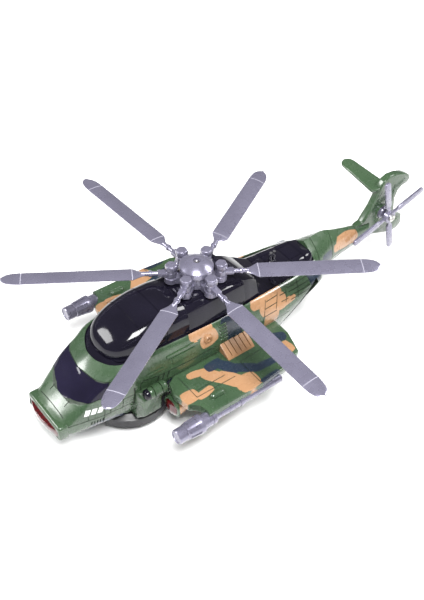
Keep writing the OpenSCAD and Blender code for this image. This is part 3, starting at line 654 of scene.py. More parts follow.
# Fine lines of the side view, cut 0.5 mm wide: (points, width)
SIDE_LINES = [([(-100, SPLIT_Z), (SPLIT_X, SPLIT_Z)], 0.45), ([(SPLIT_X, 17), (SPLIT_X, 46.5)], 0.5),
              (SCREEN_EDGE, 0.5), (BROW_EDGE, 0.5), ([(85.5, 60.5), (78, 57), (66, 64), (66, 70)], 0.5),
              ([(66, 44), (66, 51), (64, 53), (50, 51), (3, 50.4)], 0.8),
              ([(-2, 44), (-2, 66)], 0.5), ([(-2, 51), (-36, 50)], 0.5),
              ([(70.5, 32), (70.5, 50)], 1.2), ([(103, 34), (103, 41)], 0.6), ([(79, 34), (79, 47.6)], 0.5),
              ([(88, 34), (88, 39)], 0.6), ([(118, 33), (102, 33.5), (81, 35), (66, 36)], 0.6),
              ([(-46, 62.5), (-40, 49)], 0.5), ([(-58.7, 62.4), (-53.6, 53.2)], 0.5),
              ([(-67, 60.5), (-64, 53.7)], 0.5), ([(-79.7, 62.3), (-76.3, 52)], 0.5),
              ([(-90.8, 59.8), (-92.6, 50)], 0.5), ([(-46, 61.2), (-58, 61)], 0.5),
              ([(-44, 57.2), (-56, 57)], 0.5), ([(-42, 52.4), (-54, 52.2)], 0.5)]
SIDE_LINES += [([(-60, z), (-67, z - 0.4)], 0.5) for z in (59.8, 55.7)]
SIDE_LINES += [([(-69, z), (-90, z - 0.6)], 0.5) for z in (61, 58.5, 56, 53.5)]
# Wider dark slots
SIDE_SLOTS = [([(x + 1.6, 46.2), (x - 0.6, 50.4)], 1.3) for x in (52, 47.8, 43.8)]
SIDE_SLOTS += [([(x, 27.2), (x, 31.4)], 0.9) for x in (92.8, 94.8, 96.8, 98.8, 100.8)]
# Raised ribs and beads
SIDE_RIBS = [([(18.6, 62.6), (44.5, 62.6)], 2.0), ([(21, 58.3), (40.5, 58.3)], 4.2),
             ([(-6, 47.5), (-34, 46.5)], 1.0), ([(60, 56.5), (47, 56.2)], 1.0)]
TOP_LINES = [([(112.5, 9), (107, 9)], 0.6), ([(112.5, -9), (107, -9)], 0.6),
             ([(116.5, -14), (116.5, 14)], 0.5)]


def engraved(part, lines, axis, span, band, operation=cut):
    """Works strokes (points, width), seen along the axis, into a part within a band of its skin."""
    for points, width in lines:
        for outline in strokes(points, width):
            operation(part, common(prism("line", outline, axis, *span), band, keep=True))


def panelled_skin():
    """The whole skin with its grooves, before it is divided."""
    skin = cut(body("skin", 0), body("cavity", WALL, 119, -101.5))
    band = layer("band", 1.0, 0.5)
    deep = layer("deep", 1.0, 1.0)
    engraved(skin, SIDE_LINES, "y", BOTH_SIDES, band)
    engraved(skin, SIDE_SLOTS, "y", BOTH_SIDES, deep)
    engraved(skin, TOP_LINES, "z", (30, 90), band)
    raised = layer("raised", 0.9, 0.6)
    engraved(skin, SIDE_RIBS, "y", BOTH_SIDES, raised, fuse)
    for obj in (band, deep, raised):
        bpy.data.objects.remove(obj)
    return skin


def painted(obj, paint):
    obj.data.materials.clear()
    obj.data.materials.append(paint)
    return obj


def skin_part(skin, name, inside=(), outside=(), paint=None):
    part = copy_of(skin, name)
    common(part, *inside)
    cut(part, *outside)
    painted(part, paint or SHELL)
    # Faces under the skin's surface get the painted shade
    shade_below_surface(body_tree, part, GROOVE_SHADE_PAINT, 0.15, 2 * WALL)
    return part


def decal(outline, axis, span, paint, lift=0.12):
    """A print on the body's skin, seen along the axis."""
    print_layer = common(layer("print", lift, 0.3), prism("decal", outline, axis, *span))
    print_layer.data.materials.append(paint)
    return print_layer


skin = panelled_skin()


def side_shell(name, body_side):
    low_y, high_y = (0, 60) if body_side > 0 else (-60, 0)
    part = skin_part(skin, name, [block("half", (-110, low_y, SPLIT_Z), (SPLIT_X, high_y, 90))],
                     [prism("screen", SCREEN_SIDE, "y", *BOTH_SIDES),
                      prism("brow", BROW_SIDE, "y", *BOTH_SIDES),
                      prism("window", WINDOW_SIDE, "y", low_y, high_y), deck_prism(0, 55, 110)])
    boss_x, boss_z = 9.5, 59.8
    boss = turned("boss", [(0, 3.6), (3.4, 3.6), (4.2, 3.2), (4.2, 1.7), (2.4, 1.6), (2.4, 0)],
                  (boss_x, side_y(boss_x, boss_z) - 3, boss_z), (0, 1, 0))
    extras = [boss]
    for k in range(5):
        z = 53.6 + 2.5 * k
        depth = side_y(-4, z)
        extras.append(capsule("vent_rib", (-7.9, depth - 0.3, z), (-0.6, depth - 0.3, z), 1.1, 16))
    details = [painted(obj, TAN_PANEL if obj == boss else PLAIN) for obj in extras]
    if body_side < 0:
        near, details = details, [mirrored(obj, "far_detail") for obj in details]
        for obj in near:
            bpy.data.objects.remove(obj)
    finished(joined(name, [part] + details), name, "fuselage")


side_shell("side_shell_left", 1)
side_shell("side_shell_right", -1)

hull = skin_part(skin, "hull", [block("low", (-110, -60, 0), (SPLIT_X, 60, SPLIT_Z))],
                 [prism("screen", SCREEN_SIDE, "y", *BOTH_SIDES), prism("window", WINDOW_SIDE, "y", 10, 60),
                  prism("window_far", WINDOW_SIDE, "y", -60, -10),
                  turned("drum_hole", [(0, 23.15), (30, 23.15)], (57, 0, 0), (0, 0, 1), 96),
                  block("door_hole", (-46.05, -20.05, 0), (6.05, 20.05, 24)),
                  block("switch_hole", (18, 10, 0), (30, 18, 24))])
finished(hull, "lower_hull", "fuselage")

# The bar across the tip of the nose and the seat of its lens
BAR_X = (115.6, 123.6)
BAR_HALF = 20
LENS_HALF = 18.2
LENS_Z = (23.4, 31.4)
LENS_CENTRE_X = 87
LENS_R = 39.95
BAR_PRINT_X = (93.9, 98.3, 102.7)


def lens_bar(name, grow):
    """The long nose lens: a bulging bar with an undercut lower face."""
    half = LENS_HALF + grow
    turn = [math.radians(a) for a in range(-26, 27, 2)]
    arc = [(LENS_CENTRE_X + LENS_R * math.cos(a), LENS_R * math.sin(a)) for a in turn]
    back = [(119.5 - grow, half), (119.5 - grow, -half)]
    front = [(x, y) for x, y in arc if abs(y) < half]
    bar = prism(name, front + back, "z", LENS_Z[0] - grow, LENS_Z[1] + grow)
    if not grow:
        below = [(121.6, 20), (121.6, 23.2), (127.2, 28.4), (140, 28.4), (140, 20)]
        under = prism("under", below, "y", -30, 30)
        bevelled(cut(bar, under), 0.8, 3)
    return bar


def nose():
    part = common(copy_of(skin, "nose"), block("front", (SPLIT_X, -60, 0), (150, 60, 90)))
    cut(part, prism("screen", SCREEN_SIDE, "y", *BOTH_SIDES), prism("brow", BROW_SIDE, "y", *BOTH_SIDES))
    painted(part, SHELL)
    # Faces under the skin's surface get the painted shade
    shade_below_surface(body_tree, part, GROOVE_SHADE_PAINT, 0.15, 2 * WALL)
    bar = block("bar", (BAR_X[0], -BAR_HALF, 22.6), (BAR_X[1], BAR_HALF, 35.2))
    bevelled(bar, 1.9, 4)
    cut(bar, lens_bar("seat", 0.05), block("seat_front", (121.4, -18.25, 23.35), (140, 18.25, 31.45)))
    for side in (-1, 1):
        cut(bar, block("line", (BAR_X[0] - 1, side * 9 - 0.25, 34.9), (BAR_X[1] + 1, side * 9 + 0.25, 36)))
    parts = [part, painted(bar, PLAIN)]
    for x in BAR_PRINT_X:
        bar_print = [(x, 38.6), (x + 3.1, 38.9), (x + 1.3, 43.6), (x - 1.8, 43.3)]
        parts += [decal(bar_print, "y", (0, 60), WHITE), decal(bar_print, "y", (-60, 0), WHITE)]
    return joined("nose", parts)


finished(nose(), "nose_cap", "fuselage")

screen = skin_part(skin, "screen_part", [prism("screen", SCREEN_SIDE, "y", *BOTH_SIDES)], paint=SCREEN_BLACK)
finished(screen, "windscreen", "fuselage")
brow = skin_part(skin, "brow_part", [prism("brow", BROW_SIDE, "y", *BOTH_SIDES)], [deck_prism(0, 50, 110)])
finished(brow, "forehead", "fuselage")
bpy.data.objects.remove(skin)


finished(lens_bar("lens_part", 0), "nose_lens", "fuselage", LENS)

# ---------- canopy and deck ----------
# Dome stations: x, half width, sill z, crown z
DOME = [[81, 3, 68.5, 70.5], [80, 8, 68.5, 73.5], [77.5, 13, 68.5, 77.2], [73.5, 17, 68.5, 80.6],
        [68, 19.8, 68.5, 83.8], [60, 21.9, 68, 87], [50, 23, 68, 89.6], [40, 23.4, 67.5, 90.8],
        [30, 23.4, 67, 90.8], [22, 23.4, 66.5, 89.6]]


def dome(name, inset=0.0, first=22.0):
    rings = []
    for x, half, sill, crown in eased(DOME, 1.5):
        half, crown = max(0.5, half - inset), max(sill - 0.5, crown - inset)
        ring = []
        for k in range(33):
            angle = math.pi * k / 32
            y = math.copysign(abs(math.cos(angle)) ** 0.6, math.cos(angle)) * half
            ring.append((min(x, 22.0) if x <= 22 else x - (inset if x > 70 else 0), y,
                         sill + (crown - sill) * max(0.0, math.sin(angle)) ** 0.6))
        rings.append(ring)
    rings[-1] = [(first, y, z) for x, y, z in rings[-1]]
    return skinned(name, rings)


def canopy():
    part = cut(dome("canopy_part"), dome("inside", 1.6, 21.5))
    band = cut(dome("band", -0.5), dome("core", 0.4))
    for x in (57.5, 40):
        cut(part, common(block("seam", (x - 0.3, -40, 60), (x + 0.3, 40, 100)), band, keep=True))
    for side in (-1, 1):
        seam = block("seam", (22, side * 15 - 0.2, 80), (58, side * 15 + 0.2, 100))
        cut(part, common(seam, band, keep=True))
    bpy.data.objects.remove(band)
    brim = common(cut(body("brim", -0.1), body("under", 1.0)), dome("reach", -1.1, 22.0))
    cut(brim, dome("hole", 0))
    common(brim, block("front", (24, -40, 60), (90, 40, 90)))
    return joined("canopy_part", [part, brim])


finished(canopy(), "canopy", "fuselage", BLACK)

rim = common(body("rim_part", 1.0), deck_prism(0.05, 55, 110),
             block("front", (22.05, -40, 55), (102, 40, 115)))
cut(rim, body("under", 2.8, 130, -110), dome("hole"), deck_prism(5.5, 55, 95))
finished(rim, "canopy_rim", "fuselage", BLACK)

HOUSE = [(23.2, 65), (22.4, 69), (19.4, 83), (18.2, 85), (15.5, 86.5)]


def mirrored_outline(half):
    return half + [(-y, z) for y, z in reversed(half)]


def engine_deck():
    """The mast housing with its roof lines and swash plate."""
    floor = common(block("floor", (-28, -30, 63), (21.9, 30, 65.2)), deck_prism(0.4, 50, 100))
    house = common(prism("house", mirrored_outline(HOUSE), "x", -28, 21.9), deck_prism(0.4, 50, 100))
    for x in (-24.5, 18.4):
        cut(house, block("roof_line", (x - 0.3, -14.5, 86.1), (x + 0.3, 14.5, 88)))
    for side in (-1, 1):
        cut(house, block("roof_line", (-24.5, side * 14.5 - 0.3, 86.1), (18.4, side * 14.5 + 0.3, 88)))
    cut(house, turned("mast_hole", [(0, 5), (40, 5)], (0, 0, 70), (0, 0, 1)))
    bevelled(house, 0.35, 2, 50)
    swash = turned("swash", [(0, 12), (0.9, 12), (1.2, 11.2), (2.0, 9.4), (2.2, 9), (2.2, 5.2), (0, 5.2)],
                   (0, 0, 85.5), (0, 0, 1), 64)
    parts = [floor, house, swash]
    for k in range(6):
        angle = math.radians(60 * k + 15)
        spot = (9.6 * math.cos(angle), 9.6 * math.sin(angle), 86.2)
        parts.append(turned("rivet", [(0, 0.8), (1.3, 0.8), (1.6, 0.4)], spot, (0, 0, 1), 16))
    return joined("deck_part", parts)


finished(engine_deck(), "engine_deck", "fuselage", BLACK)

# Cover stations: x, sill half width, sill z, top half width, top z
COVER = [[-28.1, 21.4, 63.5, 16, 85], [-36, 20.8, 63.4, 15, 82], [-57.3, 19, 62.5, 12.5, 70],
         [-95, 15.4, 62, 10.5, 69.5], [-104, 12.8, 62, 9, 69]]


def cover_body(name, inset=0.0):
    rings = []
    for x, w, z, top_w, top in COVER:
        w, top_w, top = w - inset, top_w - inset, top - inset
        half = [(w, z), (w, z + 1.5), ((w + 3 * top_w) / 4 + 0.3, (z + 3 * top) / 4),
                (top_w + 0.2, top - 0.6), (top_w - 1.4, top)]
        rings.append([(x, y, h) for y, h in mirrored_outline(half)])
    return skinned(name, rings)


def tail_cover():
    part = cover_body("cover_part")
    band = cut(cover_body("band", -0.6), cover_body("core", 0.45))
    for x in (-44, -58, -67, -84, -96):
        cut(part, common(block("seam", (x - 0.3, -40, 55), (x + 0.3, 40, 95)), band, keep=True))
    for side in (-1, 1):
        seam = block("seam", (-96, side * 7 - 0.25, 60), (-58, side * 7 + 0.25, 80))
        cut(part, common(seam, band, keep=True))
    bpy.data.objects.remove(band)
    cut(part, block("under", (-96, -10, 60), (-30, 10, 67.5)),
        turned("pinion_pocket", [(0, 3.4), (20, 3.4)], (-25.6, 0, 55), (0, 0, 1)))
    for x in (-70.5, -73.7):
        cut(part, turned("pin_hole", [(0, 1.2), (20, 1.2)], (x, 0, 64), (0, 0, 1)))
    bevelled(part, 0.4, 2, 40)
    parts = [part]
    parts.append(turned("pin_collar", [(0, 2.6), (0.9, 2.6), (1.2, 2.2), (1.2, 1.3), (0, 1.3)],
                        (-70.5, 0, 69.6), (0, 0, 1), 32))
    parts.append(turned("pin_collar", [(0, 2.6), (0.9, 2.6), (1.2, 2.2), (1.2, 1.3), (0, 1.3)],
                        (-73.7, 0, 69.6), (0, 0, 1), 32))
    return joined("cover_part", parts)


finished(tail_cover(), "tail_cover", "fuselage", BLACK)

# ---------- tail ----------
BOOM = [[-104.1, 42, 12, 54, 17.5, 67.5, 11, 5.5], [-120, 42.5, 8, 54, 13.5, 68.5, 8, 6.5],
        [-140, 43, 5.5, 53, 9, 65, 5.5, 3.5], [-160, 43.5, 3.5, 52, 6, 60.5, 3.5, 2.5],
        [-176, 44, 2.5, 52, 4.6, 58, 2.5, 2]]
FIN = [(-160, 61.9), (-167, 63.5), (-174, 75), (-178, 86), (-180, 93), (-183.5, 98), (-189, 100.4),
       (-198, 99.6), (-207, 96.4), (-213.5, 92.5), (-215.6, 88.5), (-213, 84.8), (-207, 84), (-203.5, 81),
       (-202, 74), (-205, 60), (-217, 51), (-219.5, 41), (-215, 37), (-208, 36), (-196, 40),
       (-184, 44.5), (-176.2, 46), (-176.2, 59.5)]
TAIL_AXIS = (-188, 11, 67)
STAB_AT = (-181.2, 0, 91)
STAB_SPAN = 33
STAB_RISE = 5.7
TAIL_R = 39


def boom_body(name, inset=0.0):
    rings = []
    for x, z0, w0, zb, wb, zt, wt, crown in eased(BOOM, 2.5):
        half = bent([(0, z0 + inset), (max(0.5, w0 - inset), z0 + inset), (wb - inset, zb - 4),
                     (wb - inset, zb + 4), (wt - inset, zt - inset), (0, zt - inset + crown)], 5)
        rings.append(both_halves(x, half))
    return skinned(name, rings)


def tail_boom():
    part = boom_body("boom_part")
    tree = BVHTree.FromObject(part, bpy.context.evaluated_depsgraph_get())
    band = cut(boom_body("band", -0.6), boom_body("core", 0.45))
    seams = [([(-110, 40), (-110, 80)], 0.5), ([(-126, 40), (-129, 80)], 0.5),
             ([(-158, 40), (-160, 70)], 0.5), ([(-110, 54), (-176, 51.5)], 0.5),
             ([(-132, 49), (-152, 49.5)], 0.5)]
    engraved(part, seams, "y", BOTH_SIDES, band)
    bpy.data.objects.remove(band)
    painted(part, SHELL)
    # Groove faces get the painted shade
    shade_below_surface(tree, part, GROOVE_SHADE_PAINT, 0.15, 1.0)
    return part


finished(tail_boom(), "tail_boom", "fuselage")


def tail_fin():
    part = prism("fin_part", FIN, "y", -3, 3)
    bevelled(part, 1.6, 4, 20)
    for side in (-1, 1):
        y = side * 3
        for a, b, width in (((-197, 90), (-199, 62), 0.6), ((-183, 88), (-176, 72), 0.6),
                            ((-199, 62), (-212, 50), 0.6), ((-196, 78), (-184, 78), 0.5)):
            cut(part, prism("line", stroke(a, b, width), "y", y - 0.35, y + 0.35))
    fairing = prism("fairing", [(-203, 50.5), (-211.5, 50), (-212, 39.5), (-203, 39)], "y", -4.2, 4.2)
    bevelled(fairing, 1.2, 3)
    seat = turned("seat", [(0, 6.1), (0.4, 6.5), (7.2, 6.5), (7.6, 6.1)], (-188, -3.8, 67), (0, 1, 0))
    fuse(part, fairing, seat)
    cut(part, turned("screw_hole", [(0, 1.4), (22, 1.4)], (-188, -2, 67), (0, 1, 0)))
    cut(part, stabilizer("stab_slot", 0.05))
    parts = [part]
    for side in (-1, 1):
        edge = [(-178, 85.6), (-174, 75.2), (-167.4, 64.4)]
        for a, b in zip(edge, edge[1:]):
            start, end = ((spot[0] - 1.8, side * 2.9, spot[1]) for spot in (a, b))
            parts.append(rod("edge_bead", start, end, 0.5, 12))
    return joined("fin_part", parts)


def stabilizer(name, grow):
    """The starboard stabilizer: a flat rounded blade that thins to its tip."""
    outline = []
    for centre, radius_x, radius_y, low in (((0, -0.4), 8.4, 3, 0), ((1, -STAB_SPAN), 6.3, 6.3, 180)):
        for k in range(25):
            angle = math.radians(low + 180 * k / 24)
            outline.append((centre[0] + (radius_x + grow) * math.cos(angle),
                            centre[1] + (radius_y + grow) * math.sin(angle)))
    rings = [[(x, y, side * (1.5 + 0.012 * min(0, y) + grow)) for x, y in outline] for side in (-1, 1)]
    part = skinned(name, rings)
    if not grow:
        bevelled(part, 0.8, 3)
        for y in (-9, -27):
            for z in (-1.4, 1.4):
                cut(part, block("line", (-20, y - 0.25, z - 0.35), (20, y + 0.25, z + 0.35)))
    return moved(part, Matrix.Translation(STAB_AT) @ Matrix.Rotation(math.radians(-STAB_RISE), 4, "X"))


finished(tail_fin(), "tail_fin", "fuselage", PLAIN)
finished(stabilizer("stabilizer_part", 0), "stabilizer", "fuselage", PLAIN)

gearbox = turned("gearbox", [(0, 5.6), (0.6, 5.6), (0.7, 4.9), (1.0, 4.9), (1.1, 5.5), (1.9, 5.4),
                             (2.9, 4.8), (3.5, 3.6), (3.6, 2.4), (3.6, 1.56), (0, 1.56)],
                 (TAIL_AXIS[0], 3.85, TAIL_AXIS[2]), (0, 1, 0), 64)
finished(gearbox, "tail_gearbox", "fuselage", LILAC)


def tail_rotor():
    """Four flat paddles on narrow roots round a stepped hub, drawn about +Z and then turned up."""
    reach = TAIL_R
    hub = turned("hub", [(-2.7, 4.7), (-2.2, 5.2), (1.6, 5.2), (2.0, 4.8), (2.2, 3.9), (2.7, 3.6),
                         (2.7, 1.56), (-2.7, 1.56)], (0, 0, 0), (0, 0, 1), 48)
    parts = [hub]
    for k in range(4):
        root = bevelled(block("root", (3.6, -1.5, -1.1), (11, 1.5, 1.1)), 0.4)
        angles = [math.radians(a) for a in range(-90, 91, 15)]
        tip = [(reach - 2.8 + 2.8 * math.cos(a), 2.8 * math.sin(a)) for a in angles]
        outline = [(9.6, -1.6), (11.4, -2.8)] + tip + [(11.4, 2.8), (9.6, 1.6)]
        blade = prism("blade", outline, "z", -0.95, 0.95)
        bevelled(blade, 0.35, 2)
        for x in (13.5, reach - 5):
            cut(blade, block("line", (x - 0.25, -2.2, 0.7), (x + 0.25, 2.2, 1.5)))
        ridge = rod("ridge", (4, 0, 1.0), (12, 0, 1.0), 0.5, 12)
        for piece in (root, blade, ridge):
            parts.append(moved(piece, Matrix.Rotation(math.radians(90 * k), 4, "Z")))
    part = joined("tail_rotor_part", parts)
    turn = Matrix.Rotation(math.radians(18), 4, "Y") @ Matrix.Rotation(math.radians(90), 4, "X")
    return moved(part, Matrix.Translation(TAIL_AXIS) @ turn)


finished(tail_rotor(), "tail_rotor", "tail_rotor", LILAC)


# ---------- wings, guns, lamps and pods ----------
GUN_Y = 68.4
GUN_Z = 35
LAMP = (49, 41.5, 28)
WING_PLAN = [(37, 29), (46, 34), (49, 44), (46, 58.5), (40.5, 70.6), (-6, 70.6), (-30, 69), (-47, 63),
             (-53, 45), (-53, 29)]
# Panel lines on top of the wing, in (x, distance from the middle)
WING_LINES = [[(38, 33.5), (37.7, 54.6), (5, 55)], [(35, 50), (10, 50)], [(-28, 46), (-28, 67.5)],
              [(-6, 69.6), (-6, 47), (-28, 46)], [(-45, 46), (-28, 46)]]
GROOVE_Z = 42.6
# Axis of the pod's lens, in (y, z)
POD_EYE = (35.5, 46)
WING_RIVETS = [(34, 36), (34, 47), (10, 47), (-2, 67.6), (10, 67.6), (34, 67.6), (-26, 65), (-42, 60),
               (-46, 50)]
# The gun tube: distance along x and radius
GUN = [(-25, 3.0), (-24.4, 3.6), (9.9, 3.6), (10, 4.1), (12.5, 4.1), (12.6, 3.6), (20, 3.6), (20.1, 3.9),
       (21.9, 3.9), (22, 3.6), (33.9, 3.6), (34, 5), (34.4, 5.3), (37, 5.3), (37.1, 4.9), (37.9, 4.9),
       (38, 5.3), (44.4, 5.3), (44.5, 6.5), (44.9, 6.8), (46.7, 6.8), (47, 6.7), (57.6, 5.65), (57.9, 5.3),
       (58.1, 5), (58.6, 5), (58.8, 5.3), (64.5, 5.3), (65, 4.9), (65, 4.3), (64.6, 4.2), (64.4, 0)]


def gun_body(name, grow):
    profile = [(x, r + grow) for x, r in GUN[:-4]] + ([(65 + grow, 5.3 + grow)] if grow else GUN[-4:])
    return turned(name, profile, (0, GUN_Y, GUN_Z), (1, 0, 0), 48)


def gun():
    part = gun_body("gun_part", 0)
    for k in range(8):
        flute = prism("flute", [(48.4, 5.8), (56.6, 5.0), (56.6, 8), (48.4, 8)], "y", -1.3, 1.3)
        turn = Matrix.Translation((0, GUN_Y, GUN_Z)) @ Matrix.Rotation(math.radians(45 * k), 4, "X")
        cut(part, moved(flute, turn))
    return part


def wing():
    part = prism("wing_part", WING_PLAN, "z", 37, 43)
    bevelled(part, 0.9, 3, 40)
    for points in WING_LINES:
        for outline in strokes(points, 0.6):
            cut(part, prism("line", outline, "z", GROOVE_Z, 44))
    nacelle = turned("nacelle", [(0, 5.2), (1, 6), (29, 8.1), (30.6, 8.4), (31.0, 8.0), (31.0, 6.4),
                                 (28, 6.4), (28, 0)],
                     (18, 41.5, 31), Vector((LAMP[0] - 18, 0, LAMP[2] - 31)), 48)
    rib = block("rib", (-44, 40, 33), (16, 64, 37.4))
    bevelled(rib, 0.8, 2)
    shoulder = prism("shoulder", [(28, 43), (42, 42.6), (40.2, 44.6), (31.4, 50.2), (28, 51.6)], "x", -24, 0)
    bevelled(shoulder, 0.5, 2)
    for k in range(5):
        x = -3.4 - 4.2 * k
        slat = [(x, 20), (x + 0.7, 20), (x - 1.5, 60), (x - 2.2, 60)]
        cut(shoulder, prism("slat_line", slat, "z", 44.0, 60))
    core = prism("shoulder_core", [(28, 43), (40, 43), (38.6, 44.0), (30.8, 49.2), (28, 50.4)],
                 "x", -23.4, -0.6)
    bump = capsule("bump", (19, 60.2, 43), (31, 60.2, 43), 2.6)
    fuse(part, nacelle, rib, bump)
    louvre = painted(cut(fuse(shoulder, core), body("louvre_seat", 0)), TAN_PANEL)
    rivets = []
    for x, y in WING_RIVETS:
        rivets.append(turned("rivet", [(0, 0.7), (0.5, 0.6), (0.8, 0.25)], (x, y, 42.7), (0, 0, 1), 12))
    cut(part, turned("lamp_hole", [(0, 6.4), (8, 6.4)], (LAMP[0] - 3, LAMP[1], LAMP[2]), (1, 0, 0), 48),
        block("hollow", (-42, 42, 30), (14, 62, 41)), block("hollow", (-46, 33.5, 30), (14, 38.5, 41)),
        turned("notch", [(0, 11), (30, 11)], (50, GUN_Y - 1, 30), (0, 0, 1), 64),
        gun_body("gun_seat", 0.05), body("hull_seat", 0))
    # The groove bottoms on top get the painted shade
    painted(part, WING).data.materials.append(GROOVE_SHADE_PAINT)
    for face in part.data.polygons:
        if face.normal.z > 0.99 and abs(face.center.z / MM - GROOVE_Z) < 0.02:
            face.material_index = 1
    return joined("wing_part", [part] + [painted(obj, WING) for obj in rivets] + [louvre])


def pod():
    shape = skinned("pod_part", [[(x, y, z) for y, z in outline] for x, outline in (
        (50, [(24, 20), (31, 20), (32, 24), (32, 44), (30, 46), (24, 46)]),
        (54, [(24, 20), (32, 20), (37, 26), (37, 42), (32, 46), (24, 46)]),
        (68, [(24, 20), (32, 20), (37, 26), (37, 42), (32, 46), (24, 46)]),
        (70, [(24, 20), (31, 20), (32, 24), (32, 44), (30, 46), (24, 46)]))])
    bevelled(shape, 0.5, 2)
    cowl = turned("cowl", [(0, 3.2), (0.9, 4.1), (2, 4.4), (12.6, 4.4), (13.4, 4.2), (14, 3.8), (14, 3.7),
                           (12.6, 3.7), (12.6, 0)], (50, *POD_EYE), (1, 0, 0), 40)
    fuse(shape, cowl)
    for x in (54.5, 60.5):
        ring_cut = turned("ring", [(0, 4.1), (0, 6), (0.6, 6), (0.6, 4.1)], (x, *POD_EYE), (1, 0, 0), 40)
        cut(shape, ring_cut)
    return cut(shape, body("hull_seat", 0))


def lamp(name):
    return turned(name, [(0, 6.34), (3, 6.34), (3.4, 5.9), (4.2, 4.7), (4.8, 3.4), (4.8, 0.01)],
                  (LAMP[0] - 3, LAMP[1], LAMP[2]), (1, 0, 0), 48)


def pod_lens(name):
    return turned(name, [(0, 3.6), (3, 3.6), (3.5, 3.3), (4.1, 2.5), (4.4, 1.8), (4.4, 0.01)],
                  (63, *POD_EYE), (1, 0, 0), 40)


def pair(make, node_left, node_right, paint):
    left = make()
    right = mirrored(left, node_right + "_visual")
    finished(left, node_left, "fuselage", paint)
    finished(right, node_right, "fuselage", paint)


def twins(make, node, paint):
    left = make(node + "_one")
    finished(joined(node + "_visual", [left, mirrored(left, node + "_two")]), node, "fuselage", paint)


pair(wing, "wing_left", "wing_right", WING)
pair(gun, "gun_left", "gun_right", LILAC)
twins(lambda name: pod(), "side_pods", PLAIN)
twins(lamp, "wing_lamps", LENS)
twins(pod_lens, "pod_lenses", BLACK)

# ---------- main rotor ----------
ROTOR_TURN = 28.8
BOLT_R = 17
EAR_Z = 88
LUG_Z = 93
HEAD_Z = 98
BLADE_W = 12.5
ROTOR_R = 130
BLADE_SWING = 4.6


def bolt_place(k, height):
    """From the origin to bolt k of the stored rotor, at a height."""
    turn = Matrix.Rotation(math.radians(ROTOR_TURN + 60 * k), 4, "Z")
    return turn @ Matrix.Translation((BOLT_R, 0, height))


def hub():
    disc = turned("disc", [(0, 9.9), (0.6, 10.5), (9.4, 10.5), (10, 9.9), (10, 3.02), (0, 3.02)],
                  (0, 0, EAR_Z), (0, 0, 1), 72)
    parts = []
    for k in range(6):
        ear = fuse(block("ear", (8, -3.2, EAR_Z), (BOLT_R, 3.2, LUG_Z - 0.05)),
                   turned("knuckle", [(0, 4.2), (0.4, 4.6), (4.5, 4.6), (4.95, 4.2)], (BOLT_R, 0, EAR_Z),
                          (0, 0, 1), 40))
        cut(ear, turned("bolt_hole", [(0, 1.5), (30, 1.5)], (BOLT_R, 0, 80), (0, 0, 1), 24))
        parts.append(moved(ear, Matrix.Rotation(math.radians(60 * k), 4, "Z")))
    fuse(disc, *parts)
    return moved(disc, Matrix.Rotation(math.radians(ROTOR_TURN), 4, "Z"))


def cap():
    dome_top = [(r, HEAD_Z - 9 + math.sqrt(17.5**2 - r**2)) for r in (11.4, 10, 8.5, 7, 5.5, 4, 3.2)]
    profile = [(0.05, 11.4), (0.4, 11.8), (4.3, 11.8)] + [(z - HEAD_Z, r) for r, z in dome_top]
    profile += [(8.2, 2.5), (4.6, 2.4), (4.6, 1.2), (0.05, 1.2)]
    part = turned("cap_part", profile, (0, 0, HEAD_Z), (0, 0, 1), 72)
    for k in range(6):
        angle = math.radians(ROTOR_TURN + 60 * k)
        spot = (BOLT_R * math.cos(angle), BOLT_R * math.sin(angle), HEAD_Z - 1)
        cut(part, turned("scallop", [(0, 5.2), (12, 5.2)], spot, (0, 0, 1), 40))
    return bevelled(part, 0.35, 2, 50)


def bolts():
    parts = []
    for k in range(6):
        head = turned("head", [(0, 4.0), (0.35, 4.4), (4, 4.4), (5, 3.9)], (0, 0, HEAD_Z), (0, 0, 1), 6)
        common(head, turned("chamfer", [(0, 4.5), (3.6, 4.5), (5, 3.6)], (0, 0, HEAD_Z), (0, 0, 1), 48))
        bevelled(head, 0.25, 2)
        shank = turned("shank", [(0, 1.5), (HEAD_Z - EAR_Z + 1, 1.5)], (0, 0, EAR_Z), (0, 0, 1), 24)
        parts.append(moved(joined("bolt", [head, shank]), bolt_place(k, 0)))
    return joined("bolts_part", parts)


def blade_section(half, rise):
    """Half chord and rise of the top at one place, as points round the section."""
    top = [(c * half, 0.25 + rise * (1 - abs(c) ** 2.2)) for c in (-1, -0.9, -0.6, -0.2, 0.2, 0.6, 0.9, 1)]
    return top + [(c * half, -0.25 - 0.6 * rise * (1 - abs(c) ** 2.2)) for c in (1, 0.8, 0, -0.8, -1)]


